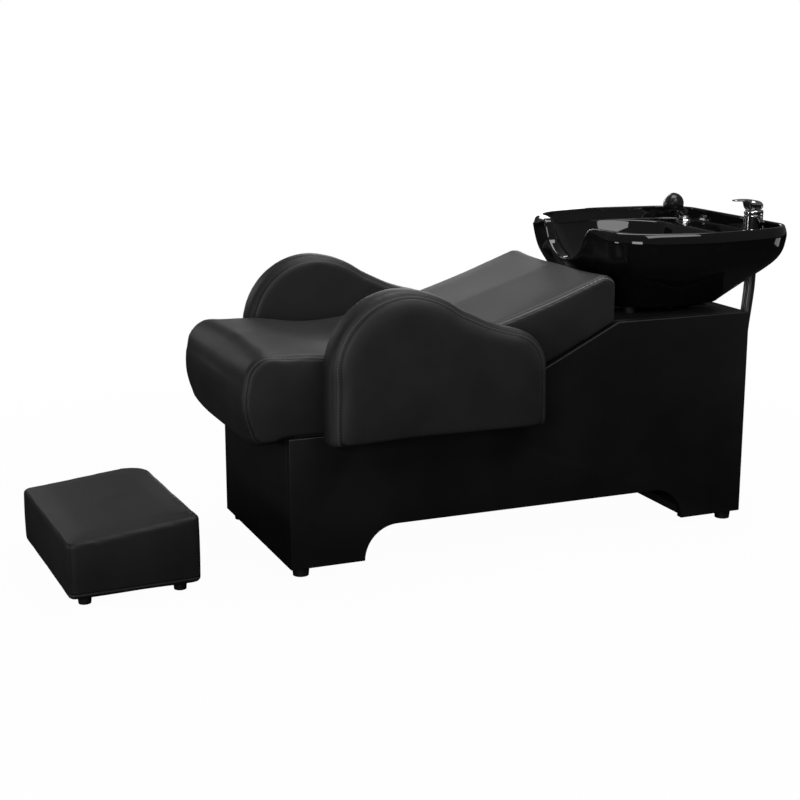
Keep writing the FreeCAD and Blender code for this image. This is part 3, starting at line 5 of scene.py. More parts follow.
import bmesh
import bpy
import numpy as np
from bpy.props import FloatProperty, FloatVectorProperty, PointerProperty
from mathutils import Matrix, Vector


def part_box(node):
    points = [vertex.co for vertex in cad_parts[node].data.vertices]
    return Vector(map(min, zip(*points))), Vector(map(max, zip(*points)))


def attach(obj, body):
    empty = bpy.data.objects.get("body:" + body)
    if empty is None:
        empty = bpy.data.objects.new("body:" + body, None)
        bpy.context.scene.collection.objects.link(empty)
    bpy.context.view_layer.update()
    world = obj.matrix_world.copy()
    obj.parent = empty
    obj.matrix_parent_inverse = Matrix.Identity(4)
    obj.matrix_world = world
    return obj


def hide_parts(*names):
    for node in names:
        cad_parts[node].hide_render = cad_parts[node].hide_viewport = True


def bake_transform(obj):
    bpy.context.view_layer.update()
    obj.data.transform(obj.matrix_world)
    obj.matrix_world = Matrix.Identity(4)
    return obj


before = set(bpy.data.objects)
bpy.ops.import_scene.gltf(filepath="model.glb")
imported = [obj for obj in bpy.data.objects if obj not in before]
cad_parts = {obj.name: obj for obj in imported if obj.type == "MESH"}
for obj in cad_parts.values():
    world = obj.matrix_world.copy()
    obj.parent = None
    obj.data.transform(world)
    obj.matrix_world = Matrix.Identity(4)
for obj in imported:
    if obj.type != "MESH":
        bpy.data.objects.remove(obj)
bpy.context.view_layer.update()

bl_info = {
    "name": "Shampoo Bed Looks",
    "version": (1, 0, 0),
    "blender": (4, 5, 0),
    "location": "3D View > Sidebar > Shampoo Bed",
    "description": (
        "Dresses the packed frame of a salon shampoo bed in leather, board, glaze and chrome"
    ),
    "category": "Object",
}


def node_box(name):
    """Lowest and highest corner of a CAD node, as arrays."""
    return tuple(np.array(corner, dtype=float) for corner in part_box(name))


BASE_FRONT = node_box("base_side_near")[0][0]
BASE_HALF = node_box("base_side_far")[1][1]
SEAT_DECK = node_box("seat_deck")[1][2]
BASIN_LOW, BASIN_HIGH = node_box("basin_bowl")
RIM = BASIN_HIGH[2]
TAP_LEDGE = RIM - 0.030

# Room left between pieces that touch
CLEAR = 0.0002

# The swelling of the covers: how long, how it is evened out and what the cloth is like
SWELL_FRAMES = 20
EVENING_ROUNDS = 60
CLOTH = {
    "quality": 4, "use_pressure": True, "uniform_pressure_force": 3.0, "tension_stiffness": 25.0,
    "compression_stiffness": 25.0, "bending_stiffness": 10.0,
}

# Each lamp's name, place, aim, size and power
LAMPS = (
    ("overhead", (0.65, 0.3, 2.7), (0.2, 0.0, 0.4), (2.2, 1.2), 35.0),
    ("window_far", (1.05, 2.4, 0.95), (0.2, 0.0, 0.5), (1.3, 1.0), 11.5),
    ("window_left", (-0.95, 2.3, 0.95), (0.4, 0.2, 0.65), (0.22, 0.7), 2.0),
    ("window_near", (0.5, -1.8, 2.3), (0.55, 0.2, 0.65), (1.6, 1.0), 18.0),
    ("fill_left", (-1.8, -2.4, 0.9), (-0.1, 0.0, 0.35), (1.2, 1.0), 20.0),
    ("card_stool", (-2.1, 0.1, 0.4), (-0.75, 0.0, 0.1), (0.6, 0.3), 3.2),
    ("card_right", (2.3, -0.6, 0.32), (0.8, -0.2, 0.62), (0.6, 0.3), 0.8),
)

# The hoses' routes in millimetres: distance from the base's front face, then Y and Z
HOT_ROUTE = (
    (1193.3, -132, 596), (1193.3, -132, 545), (1190, -130, 492), (1187, -126, 438),
    (1186, -121, 387), (1172, -118, 363), (1148, -118, 349), (1123, -118, 349),
)
COLD_ROUTE = (
    (1193.3, -118, 596), (1193.3, -118, 545), (1192, -113, 492), (1190, -107, 438),
    (1189, -103, 387), (1174, -102, 363), (1149, -102, 349), (1123, -102, 349),
)
SPRAY_ROUTE = (
    (1208, -125, 596), (1208, -125, 545), (1204, -122, 490), (1200, -117.5, 435),
    (1200, -112, 380), (1200, -104, 318), (1199, -92, 256), (1198, -72, 203),
    (1197, -40, 164), (1196, 2, 147),
    (1196, 46, 152), (1197, 88, 178), (1198, 122, 221), (1199, 148, 276), (1200, 164, 336),
    (1200, 172, 392), (1200, 172, 435), (1200, 172, 500), (1200, 172, 570), (1200, 172, 644),
)


def colour_setting(name, description, default):
    """A colour that the sidebar shows."""
    return FloatVectorProperty(
        name=name, description=description, subtype="COLOR", default=default, min=0, max=1,
    )


def length_setting(name, description, default):
    """A length that the sidebar shows."""
    return FloatProperty(
        name=name, description=description, unit="LENGTH", default=default, precision=4,
    )


class CushionSizes(bpy.types.PropertyGroup):
    """Sizes and colours of the upholstery."""

    colour: colour_setting("Leather", "Colour of the synthetic leather", (0.017, 0.017, 0.0175))
    # Lighter than the leather: partly the thread's own colour, partly a painted highlight along
    # the seams.
    thread: colour_setting("Thread", "Colour of the seams' thread", (0.20, 0.20, 0.205))
    grain: length_setting("Grain", "Width of one pebble of the grain", 0.0014)
    voxel: length_setting("Voxel", "Mesh step before the foam swells", 0.007)
    swell: length_setting("Swell", "Furthest that a cover may move as the foam swells", 0.006)
    seam_depth: length_setting("Seam depth", "How deep a seam is sunk", 0.0030)
    seam_width: length_setting("Seam width", "Width of a seam's groove", 0.0060)
    stitch: length_setting("Stitch", "Length of one stitch and its gap", 0.005)


class HardSizes(bpy.types.PropertyGroup):
    """Sizes and colours of the hard pieces."""

    board: colour_setting("Panel", "Colour of the faced panels", (0.0100, 0.0100, 0.0104))
    glaze: colour_setting("Glaze", "Colour of the ceramic glaze", (0.0055, 0.0055, 0.0058))
    chrome: colour_setting("Chrome", "Colour of the chrome", (0.74, 0.75, 0.77))
    plastic: colour_setting("Plastic", "Colour of the moulded plastic", (0.010, 0.010, 0.0105))
    edge: length_setting("Panel edge", "Rounding of the panels' edges", 0.0018)
    braid: length_setting("Braid", "Length of one strand crossing on a hose", 0.004)


class StageSizes(bpy.types.PropertyGroup):
    """The camera and the light."""

    lens: FloatProperty(name="Lens", description="Focal length on a 36 mm sensor", default=69.67)
    yaw: FloatProperty(
        name="Yaw", description="Turn of the view away from +Y", subtype="ANGLE",
        default=math.radians(22.53),
    )
    pitch: FloatProperty(
        name="Pitch", description="Dip of the view below the horizon", subtype="ANGLE",
        default=math.radians(13.32),
    )
    place: FloatVectorProperty(
        name="Camera", description="Camera from the base's front face", subtype="TRANSLATION",
        unit="LENGTH", default=(-0.9726, -3.1825, 1.1222),
    )
    fill: FloatProperty(
        name="Fill", description="Strength of the soft light from all round", default=0.10, min=0,
    )


# Node materials


def joined(operation, swapped=False):
    """A method that adds a Math node for a signal and what stands behind it, or before it."""
    def method(self, *other):
        values = (*other, self) if swapped else (self, *other)
        return self.finish.math(operation, *values)
    return method


class Signal:
    """A socket that joins expressions: each sign between two values adds a Math node."""

    def __init__(self, finish, socket):
        self.finish = finish
        self.socket = socket

    __add__, __radd__ = joined("ADD"), joined("ADD", True)
    __sub__, __rsub__ = joined("SUBTRACT"), joined("SUBTRACT", True)
    __mul__, __rmul__ = joined("MULTIPLY"), joined("MULTIPLY", True)
    __truediv__ = joined("DIVIDE")
    __abs__ = joined("ABSOLUTE")
    __lt__ = joined("LESS_THAN")


class Finish:
    """A node material in the making, or the nodes of another owner such as a world."""

    def __init__(self, name, owner=None):
        self.material = owner or bpy.data.materials.new(name)
        self.material.use_nodes = True
        self.tree = self.material.node_tree
        self.tree.nodes.clear()

    def node(self, kind, settings=None, sockets=None, output=0):
        """Add a node: its settings first, then its sockets."""
        item = self.tree.nodes.new(kind)
        for key, value in (settings or {}).items():
            setattr(item, key, value)
        for key, value in (sockets or {}).items():
            if isinstance(value, Signal):
                self.tree.links.new(value.socket, item.inputs[key])
            else:
                item.inputs[key].default_value = value
        return Signal(self, item.outputs[output]) if item.outputs else None

    def math(self, operation, *values):
        """A Math node for one or more values."""
        return self.node("ShaderNodeMath", {"operation": operation}, dict(enumerate(values)))

    def most(self, values):
        """The greatest of several values."""
        return reduce(lambda one, other: self.math("MAXIMUM", one, other), values)

    @cached_property
    def place(self):
        """The piece's own place in metres."""
        return self.node("ShaderNodeTexCoord", output=3)

    def stretched(self, *scale):
        """The place with its three parts multiplied."""
        return self.node("ShaderNodeMapping", None, {"Vector": self.place, "Scale": scale})

    def axes(self, place):
        """A place's three parts."""
        split = self.node("ShaderNodeSeparateXYZ", sockets={0: place})
        return [Signal(self, socket) for socket in split.socket.node.outputs]

    def noise(self, size, detail, place=None):
        """Cloudy noise with lumps of a given size in metres."""
        sockets = {"Vector": place or self.place, "Scale": 1 / size, "Detail": detail}
        return self.node("ShaderNodeTexNoise", None, sockets)

    def cells(self, size, feature="F1"):
        """Distance within cells of a given size in metres."""
        sockets = {"Vector": self.place, "Scale": 1 / size}
        return self.node("ShaderNodeTexVoronoi", {"feature": feature}, sockets)

    def band(self, value, start, end):
        """A smooth step from 0 at start to 1 at end."""
        return self.node(
            "ShaderNodeMapRange", {"interpolation_type": "SMOOTHSTEP"},
            {"Value": value, "From Min": start, "From Max": end, "To Min": 0.0, "To Max": 1.0},
        )

    def blend(self, share, first, second):
        """A colour between two colours."""
        one, other = (
            value if isinstance(value, Signal) else (*value, 1) for value in (first, second)
        )
        sockets = {0: share, 6: one, 7: other}
        return self.node("ShaderNodeMix", {"data_type": "RGBA"}, sockets, output=2)

    def shades(self, share, colour, low, high):
        """A colour between two multiples of one colour."""
        return self.blend(share, lighter(colour, low), lighter(colour, high))

    def close(self, tone, rough, bump, fixed=None):
        """End the material in one shader; a bump has a height, a reach in metres, a strength."""
        sockets = dict(zip(("Height", "Distance", "Strength"), bump))
        normal = self.node("ShaderNodeBump", None, sockets)
        sockets = {"Base Color": tone, "Roughness": rough, "Normal": normal, **(fixed or {})}
        shader = self.node("ShaderNodeBsdfPrincipled", None, sockets)
        self.node("ShaderNodeOutputMaterial", None, {"Surface": shader})
        return self.material


def lighter(colour, times):
    """A colour with all its parts multiplied."""
    return tuple(part * times for part in colour)


def leather(name, sizes, seams, axis="Y", centre=(0.0, 0.0), thread_and_highlight_share=0.35, shade=1.0):
    """Pebbled black leather with a row of stitches along the inner side of each seam.
    The stitches' lighter colour is partly the thread's own and partly a painted highlight along
    the seam, each seam's groove is darkened as painted shade, and a shade below 1 paints the
    whole leather darker.

    A seam lies where the piece's place along the axis equals one of the seams, so the distance
    from it is that place's difference, and the thread runs by the angle round the centre.
    """
    finish = Finish(name)
    x, y, z = finish.axes(finish.place)
    pebble = finish.cells(sizes.grain)
    creases = finish.cells(sizes.grain * 2.3, "DISTANCE_TO_EDGE")
    mottle = finish.noise(0.09, 4.0)
    fine = finish.noise(0.0006, 2.0)
    pull = finish.noise(0.03, 3.0)
    off_axis = {"Y": y, "Z": z}[axis]
    around = finish.math("ARCTAN2", z - centre[1], x - centre[0]) if axis == "Y" else x + y
    turn = around * (0.2 if axis == "Y" else 1.0)
    dash = finish.math("FRACT", turn / sizes.stitch) < 0.7
    stitch_inset = 0.0034
    outward = [(off_axis - seam) * (1.0 if seam > 0 else -1.0) for seam in seams]
    rows = [1 - finish.band(abs(apart + stitch_inset), 0.0005, 0.0011) for apart in outward]
    strain = finish.most([1 - finish.band(abs(apart), 0.0, 0.025) for apart in outward])
    groove = finish.most([1 - finish.band(abs(apart), 0.0004, 0.0019) for apart in outward])
    thread = finish.most(rows) * dash
    grain = pebble * 0.5 + creases * 0.55 + fine * 0.12
    height = grain + thread * 0.9 + strain * pull * 1.2 - groove * 2.6
    # shade multiplies the whole leather's colour; below 1 it is painted shade, a darker copy of
    # the same leather.
    tone = finish.shades(finish.band(mottle, 0.3, 0.75), sizes.colour, 0.85 * shade, 1.2 * shade)
    # The lighter thread is partly real thread and partly a painted highlight along the seam.
    tone = finish.blend(thread * thread_and_highlight_share, tone, tuple(sizes.thread))
    # Painted shade: each seam's groove is darkened to 0.2 of the leather's colour, on top of its
    # sunk shape and bump.
    tone = finish.blend(groove, tone, lighter(sizes.colour, 0.2))
    rough = 0.42 + mottle * 0.10 + pebble * 0.10 - thread * 0.05
    return finish.close(tone, rough, (height, 0.00045, 0.55), {"Specular IOR Level": 0.45})


def faced_board(name, colour, sheen=0.40):
    """Black faced board: a fine pearl texture, faint scuffs and a dull satin."""
    finish = Finish(name)
    pearl = finish.noise(0.0011, 2.0)
    cloud = finish.noise(0.16, 4.0)
    scuff = finish.band(finish.noise(0.05, 5.0, finish.stretched(1.0, 1.0, 14.0)), 0.66, 0.8)
    tone = finish.shades(finish.band(cloud, 0.3, 0.8), colour, 0.85, 1.3)
    rough = sheen + cloud * 0.12 + scuff * 0.10
    bump = (pearl * 0.6 + scuff * 0.2, 0.0002, 0.4)
    return finish.close(tone, rough, bump, {"Specular IOR Level": 0.18})


def hidden_board(name):
    """Stained plywood: long grain lines along the bed in a near black."""
    finish = Finish(name)
    along = finish.stretched(1.0, 9.0, 9.0)
    grain = finish.noise(0.06, 6.0, along)
    pore = finish.noise(0.004, 3.0, along)
    tone = finish.blend(grain, (0.007, 0.007, 0.007), (0.014, 0.0135, 0.013))
    return finish.close(tone, 0.62 + grain * 0.15, (grain * 0.5 + pore * 0.5, 0.0003, 0.6))


def glaze(name, colour):
    """Black glazed ceramic: a deep gloss with a faint ripple and water marks."""
    finish = Finish(name)
    marks = finish.band(finish.noise(0.02, 5.0), 0.56, 0.75)
    ripple = (finish.noise(0.05, 1.0), 0.0006, 0.10)
    gloss = {"IOR": 1.52, "Coat Weight": 0.2, "Coat Roughness": 0.02}
    tone = finish.shades(marks, colour, 1.0, 1.6)
    return finish.close(tone, 0.03 + marks * 0.04, ripple, gloss)


def chrome(name, colour):
    """Polished chrome with faint smears."""
    finish = Finish(name)
    smear = finish.band(finish.noise(0.012, 5.0), 0.45, 0.8)
    bump = (finish.noise(0.02, 1.0), 0.0002, 0.02)
    tone = finish.shades(smear, colour, 1.0, 0.9)
    return finish.close(tone, 0.08 + smear * 0.06, bump, {"Metallic": 1.0})


def mottled(name, colour, tones, patch, rough, grain, bump, metallic=0.0):
    """A plain finish: cloudy patches vary its tone and roughness, and a fine grain is its bump.

    A patch has a size and a detail; the roughness has a least value and the patches' share.
    """
    finish = Finish(name)
    cloud = finish.noise(*patch)
    return finish.close(
        finish.shades(cloud, colour, *tones), rough[0] + cloud * rough[1],
        (finish.noise(grain, 2.0), 0.0002, bump), {"Metallic": metallic},
    )


def plated(name, colour, rough=0.32):
    """Zinc plated or painted steel: a brushed, slightly blotched metal."""
    return mottled(name, colour, (0.75, 1.15), (0.008, 4.0), (rough, 0.15), 0.001, 0.25, 0.85)


def moulded(name, colour, rough=0.42):
    """Moulded plastic or rubber: a fine spark-eroded texture."""
    return mottled(name, colour, (0.85, 1.25), (0.03, 3.0), (rough, 0.12), 0.0009, 0.35)


def nozzles(name, colour):
    """A spray face: moulded plastic with a field of small round jets."""
    finish = Finish(name)
    jets = 1 - finish.band(finish.cells(0.0055), 0.16, 0.24)
    # Painted shade: the sunk jets are darkened to 0.3 of the plate's colour, the shade inside
    # their small holes.
    tone = finish.shades(jets, colour, 1.0, 0.3)
    return finish.close(tone, 0.24 + jets * 0.2, (jets * -1.0, 0.0006, 0.5))


def braided(name, colour, pitch, radius):
    """A braided steel sleeve: two families of strands cross along the hose's own map."""
    finish = Finish(name)
    u, v, _ = finish.axes(finish.node("ShaderNodeTexCoord", output=2))
    strands = 8
    along = u * (2 * math.pi / pitch)
    about = v * (2 * math.pi * strands)
    waves = [finish.math("SINE", strand) for strand in (along + about, along - about)]
    height = finish.most(waves) * 0.5 + 0.5
    # Painted shade: the low places between the strands are darkened to 0.25 of the colour, the
    # shade in the braid's gaps.
    tone = finish.shades(finish.band(height, 0.35, 0.95), colour, 0.25, 1.0)
    bump = (height, radius * 0.16, 0.8)
    return finish.close(tone, 0.42 - height * 0.14, bump, {"Metallic": 0.9})


# Surfaces


@contextmanager
def edited(mesh):
    """A loose copy of a mesh that is written back when the block ends."""
    work = bmesh.new()
    work.from_mesh(mesh)
    yield work
    work.to_mesh(mesh)
    work.free()


def welded(name, points, faces, sharp=40.0):
    """An object from points and faces: doubles merged, faces outwards, smooth below an angle."""
    mesh = bpy.data.meshes.new(name)
    mesh.from_pydata(points.reshape(-1, 3).tolist(), [], faces)
    return soldered(name, mesh, sharp)


def soldered(name, mesh, sharp=40.0):
    """An object whose loose mesh is merged, turned outwards and shaded smooth below an angle."""
    with edited(mesh) as work:
        bmesh.ops.remove_doubles(work, verts=work.verts, dist=0.000002)
        bmesh.ops.recalc_face_normals(work, faces=work.faces)
    shade(mesh, sharp)
    return linked(name, mesh)


def linked(name, data):
    """A new object in the scene."""
    obj = bpy.data.objects.new(name, data)
    bpy.context.scene.collection.objects.link(obj)
    return obj


def shade(mesh, sharp):
    """Smooth shading with sharp edges above an angle in degrees."""
    mesh.shade_smooth()
    mesh.set_sharp_from_angle(angle=math.radians(sharp))
    mesh.update()


def grid_faces(rows, columns, wrap_rows=False, wrap_columns=True):
    """Quads between neighbours of a grid whose rows or columns may close on themselves."""
    row = np.arange(rows if wrap_rows else rows - 1)[:, None]
    column = np.arange(columns if wrap_columns else columns - 1)[None, :]
    next_row = (row + 1) % rows
    next_column = (column + 1) % columns
    corners = (
        row * columns + column, row * columns + next_column,
        next_row * columns + next_column, next_row * columns + column,
    )
    return np.stack(np.broadcast_arrays(*corners), -1).reshape(-1, 4).tolist()


def stack_faces(rows, columns):
    """Quads of closed rings stacked up, with a face over each end."""
    last = (rows - 1) * columns
    ends = [list(range(columns)), list(range(last, last + columns))]
    return grid_faces(rows, columns) + ends


def arcs(first, middle, last, steps, endpoint=True):
    """Points along quadratic curves from first points to last ones, drawn to middle ones."""
    t = np.linspace(0, 1, steps, endpoint=endpoint)[None, :, None]
    start = (1 - t) ** 2 * first[:, None]
    curve = start + 2 * t * (1 - t) * middle[:, None] + t**2 * last[:, None]
    return curve.reshape(-1, first.shape[1])


def eased(corners, radius, steps=5):
    """A polyline with its inner corners rounded.

    Each inner corner becomes a quadratic curve between two points that lie the radius before and
    behind it, or 0.45 of the shorter run.
    """
    corners = np.array(corners, dtype=float)
    back = corners[:-2] - corners[1:-1]
    ahead = corners[2:] - corners[1:-1]
    back_length = np.linalg.norm(back, axis=1, keepdims=True)
    ahead_length = np.linalg.norm(ahead, axis=1, keepdims=True)
    reach = np.minimum(radius, 0.45 * np.minimum(back_length, ahead_length))
    first = corners[1:-1] + back / back_length * reach
    last = corners[1:-1] + ahead / ahead_length * reach
    return np.concatenate((corners[:1], arcs(first, corners[1:-1], last, steps), corners[-1:]))


def lathe(profile, columns=56):
    """A profile of radius and height carried round the Z axis."""
    angle = np.linspace(0, 2 * np.pi, columns, endpoint=False)[None, :]
    radius = profile[:, 0, None]
    height = np.broadcast_to(profile[:, 1, None], (len(profile), columns))
    return np.stack((radius * np.cos(angle), radius * np.sin(angle), height), -1)


def turned(name, corners, place, radius=0.0008, columns=56, wrap=False, turn=None):
    """A turned piece: an eased profile spun and set at a place, turned first where asked.

    A profile that starts and ends on the axis is closed there; one that wraps closes on itself.
    """
    profile = eased([*corners, corners[0]] if wrap else corners, radius)
    points = lathe(profile, columns)
    if turn is not None:
        points = points @ np.array(turn.to_3x3()).T
    return welded(name, points + np.array(place), grid_faces(len(profile), columns))


def closed_spline(rows, steps=6):
    """A closed quadratic B-spline through the middles of its control rows' runs."""
    rows = np.array(rows, dtype=float)
    before = (np.roll(rows, 1, axis=0) + rows) / 2
    after = (rows + np.roll(rows, -1, axis=0)) / 2
    return arcs(before, rows, after, steps, endpoint=False)


def ring_columns(front, side, corner):
    """Which way each column of a rounded rectangle leans, and its shares of the four corners.

    Along a side the shares pass from one corner to the next and the angle stays; round a corner
    the angle moves and the shares stay.
    """
    angles = []
    shares = []
    for quarter, count in enumerate((front, side, front, side)):
        step = np.linspace(0, 1, count, endpoint=False)
        sweep = np.linspace(0, 1, corner, endpoint=False)
        angles.append(np.full(count, quarter * np.pi / 2))
        angles.append((quarter + sweep) * np.pi / 2)
        share = np.zeros((count + corner, 4))
        share[:count, quarter] = 1 - step
        share[:count, (quarter + 1) % 4] = step
        share[count:, (quarter + 1) % 4] = 1
        shares.append(share)
    return np.concatenate(angles), np.concatenate(shares)


def rounded_rings(rows, columns, scale=(1, 1, 1, 1)):
    """Rounded rectangles, one for each row of (low x, high x, half width, corner, z).

    Each is a core rectangle pushed out by its corner radius, which the scale may change at each
    of the four corners.
    """
    angle, shares = columns
    low, high, half, corner, level = (rows[:, index, None] for index in range(5))
    corner = np.minimum(corner * np.array(scale), np.minimum((high - low) / 2, half))
    core_x = (low + high) / 2 + np.array((1, 1, -1, -1)) * ((high - low) / 2 - corner)
    core_y = np.array((-1, 1, 1, -1)) * (half - corner)
    reach = corner @ shares.T
    x = core_x @ shares.T + reach * np.cos(angle)
    y = core_y @ shares.T + reach * np.sin(angle)
    return np.stack((x, y, np.broadcast_to(level, x.shape)), -1)


def unit(values):
    """Values held between 0 and 1."""
    return np.clip(values, 0, 1)


def soft_least(values, limit, soft):
    """The lesser of values and a limit, with the change between them rounded off."""
    return -soft * np.logaddexp(-values / soft, -limit / soft)


def carve(obj, cutters):
    """Take other meshes out of an object for good."""
    for cutter in cutters:
        modifier = obj.modifiers.new("carve", "BOOLEAN")
        modifier.operation = "DIFFERENCE"
        modifier.solver = "EXACT"
        modifier.object = cutter
    settle(obj)
    for cutter in cutters:
        bpy.data.objects.remove(cutter)


def settle(obj):
    """Turn an object's modifiers into its mesh."""
    graph = bpy.context.evaluated_depsgraph_get()
    mesh = bpy.data.meshes.new_from_object(obj.evaluated_get(graph))
    obj.modifiers.clear()
    obj.data = mesh


def copy_of(node, name, sharp=40.0):
    """A merged copy of a CAD node's mesh as a new object; the node itself is left alone."""
    return soldered(name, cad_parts[node].data.copy(), sharp)


def dress(obj, body, material, *nodes, slot=None):
    """Give a piece its material and its body, if one is named, and hide the CAD nodes it stands
    for.
    """
    obj.data.materials.clear()
    obj.data.materials.append(material)
    if body:
        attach(obj, body)
    if nodes:
        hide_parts(*nodes)
    return obj


def fitting(name, corners, place, radius, body, material, *nodes, slot="chrome", **how):
    """A turned piece with its finish, on its body and in place of its CAD nodes."""
    return dress(turned(name, corners, place, radius, **how), body, material, *nodes, slot=slot)


def coat(material, *nodes):
    """Give CAD nodes that stay in view their material."""
    for node in nodes:
        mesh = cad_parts[node].data
        mesh.materials.clear()
        mesh.materials.append(material)


def vertex_array(mesh, name="co"):
    """All vertices' places, or their normals, as an array."""
    values = np.empty(len(mesh.vertices) * 3)
    source = mesh.vertices if name == "co" else mesh.vertex_normals
    source.foreach_get(name, values)
    return values.reshape(-1, 3)


def put_vertices(mesh, points):
    """Move a mesh's vertices to new places."""
    mesh.vertices.foreach_set("co", points.ravel())
    mesh.update()


# Soft pieces


def cover_of(name, *nodes):
    """One loose object from merged copies of CAD nodes' meshes."""
    mesh = bpy.data.meshes.new(name)
    with edited(mesh) as work:
        for node in nodes:
            work.from_mesh(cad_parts[node].data)
    return soldered(name, mesh)


def cushion(obj, sizes, shape, keep_inside, rounding=3, puff=1.0, fine=1.0):
    """A padded piece: a cover remeshed, rounded, swollen by pressure and shaped.

    No point moves further than its puff share of the swell size by the pressure, and the moves are
    evened out over the cover. The shape then moves points, and keep_inside holds the cover off
    its neighbours.
    """
    most = sizes.swell * puff
    remesh = obj.modifiers.new("remesh", "REMESH")
    remesh.mode = "VOXEL"
    remesh.voxel_size = sizes.voxel * fine
    even_out(obj, rounding)
    settle(obj)
    rest = vertex_array(obj.data)
    swollen = pressed(obj, rest)
    move = swollen - rest
    length = np.linalg.norm(move, axis=1, keepdims=True)
    move = move * np.minimum(1, most / np.maximum(length, 1e-9))
    put_vertices(obj.data, rest + spread(obj.data, move, EVENING_ROUNDS))
    soften(obj)
    settle(obj)
    points = vertex_array(obj.data)
    if shape:
        points = shape(points, vertex_array(obj.data, "vector"))
    put_vertices(obj.data, keep_inside(points))
    obj.data.shade_smooth()
    return obj


def even_out(obj, times):
    """Smooth an object's surface a number of times."""
    smooth = obj.modifiers.new("even", "SMOOTH")
    smooth.factor = 0.5
    smooth.iterations = times


def spread(mesh, values, times):
    """Values of a mesh's vertices, averaged with their neighbours' a number of times."""
    ends = np.empty(len(mesh.edges) * 2, dtype=np.int32)
    mesh.edges.foreach_get("vertices", ends)
    one, other = ends.reshape(-1, 2).T
    total = len(values)
    count = np.maximum(np.bincount(ends, minlength=total), 1)[:, None]
    for _ in range(times):
        sums = [
            np.bincount(one, column[other], total) + np.bincount(other, column[one], total)
            for column in values.T
        ]
        values = (values + np.stack(sums, -1) / count) / 2
    return values


def held(values, low, high, soft=0.003):
    """Values kept between two limits, which they near along a soft curve."""
    return -soft_least(-soft_least(values, high, soft), -low, soft)


def pressed(obj, rest):
    """Places of an object's vertices after its cover is blown up by pressure for a short while."""
    scene = bpy.context.scene
    cloth = obj.modifiers.new("swell", "CLOTH")
    for key, value in CLOTH.items():
        setattr(cloth.settings, key, value)
    cloth.settings.effector_weights.gravity = 0.0
    cloth.collision_settings.use_collision = False
    for step in range(1, SWELL_FRAMES + 1):
        scene.frame_set(step)
    graph = bpy.context.evaluated_depsgraph_get()
    points = vertex_array(obj.evaluated_get(graph).data)
    obj.modifiers.remove(cloth)
    scene.frame_set(1)
    return points if points.shape == rest.shape else rest


def sew(obj, sizes, apart):
    """Sink a seam: a point goes in by the seam depth times a bell curve of its distance apart."""
    points = vertex_array(obj.data)
    depth = sizes.seam_depth * np.exp(-((apart(points) / sizes.seam_width) ** 2))
    put_vertices(obj.data, points - vertex_array(obj.data, "vector") * depth[:, None])


def soften(obj):
    """One level of subdivision, the same in view and in the render."""
    modifier = obj.modifiers.new("smooth", "SUBSURF")
    modifier.levels = 1
    modifier.render_levels = 1


def upholster(name, nodes, sizes, keep_inside, seams, centre, shape, thread=0.2):
    """One of the base's cushions from its loose cover to its leather, with seams across Y."""
    obj = cushion(cover_of(name, *nodes), sizes, shape, keep_inside)
    seam_places = np.array(seams)
    sew(obj, sizes, lambda points: np.abs(points[:, 1, None] - seam_places[None, :]).min(axis=1))
    material = leather(f"{name}_leather", sizes, seams, "Y", centre, thread)
    dress(obj, "base", material, *nodes, slot="leather")


class BED_OT_cushions(bpy.types.Operator):
    """Make the seat and the back cushion"""

    bl_idname = "bed.cushions"
    bl_label = "Cushions"

    def execute(self, context):
        sizes = context.scene.bed_cushions
        seam = BASE_HALF - 0.009
        limit = BASE_HALF - 0.0006
        deck_gap = 0.0003
        seat_low, seat_high = node_box("seat_cushion")
        back_low, back_high = node_box("back_cushion")
        slope = (BASIN_LOW[2] - 0.014 - SEAT_DECK) / (back_high[0] - back_low[0])

        def back_deck(points):
            return SEAT_DECK + (points[:, 0] - back_low[0]) * slope

        def seat_room(points):
            points[:, 1] = held(points[:, 1], -limit, limit)
            points[:, 0] = np.minimum(points[:, 0], seat_high[0] - CLEAR)
            over_deck = points[:, 0] > BASE_FRONT - 0.001
            raised = np.maximum(points[:, 2], SEAT_DECK + deck_gap)
            points[:, 2] = np.where(over_deck, raised, points[:, 2])
            return points

        def back_room(points):
            points[:, 1] = held(points[:, 1], -limit, limit)
            points[:, 0] = np.clip(points[:, 0], back_low[0] + CLEAR, back_high[0] + 0.007)
            points[:, 2] = np.maximum(points[:, 2], back_deck(points) + deck_gap)
            return points

        def nose(points, normals):
            points[:, 0] += 0.002 * unit(-normals[:, 0])
            place = points[:, 0] - BASE_FRONT
            ahead = unit((-0.002 - place) / 0.03)
            sag = ahead * unit((seat_low[2] + 0.10 - points[:, 2]) / 0.08)
            points[:, 2] -= 0.016 * sag * (1 - (points[:, 1] / BASE_HALF) ** 4)
            lap = 0.010 * np.exp(-(((place - 0.05) / 0.08) ** 2))
            lap += 0.005 * np.exp(-(((place - 0.10) / 0.075) ** 2))
            points[:, 2] += lap * unit((points[:, 2] - seat_low[2] - 0.08) / 0.07)
            return points

        def rise(points, normals):
            share = (points[:, 0] - back_low[0]) / (back_high[0] - back_low[0])
            edge = np.abs(points[:, 1] / BASE_HALF)
            over = unit((points[:, 2] - back_deck(points) - 0.02) / 0.06)
            points[:, 2] += over * (0.013 * (share - 0.5) + 0.006 * edge**4)
            points[:, 0] += 0.014 * edge**6 * unit(normals[:, 0]) * (share > 0.8)
            return points

        # The last column is how strongly the lighter thread shows; on the back it is full, a
        # painted highlight along its bright upper seam.
        for name, room, low, high, shape, thread in (
            ("seat", seat_room, seat_low, seat_high, nose, 0.2),
            ("back", back_room, back_low, back_high, rise, 1.0),
        ):
            upholster(
                f"{name}_cover", (f"{name}_cushion",), sizes, room, (-seam, seam),
                ((low[0] + high[0]) / 2, (low[2] + high[2]) / 2), shape, thread=thread,
            )
        return {"FINISHED"}


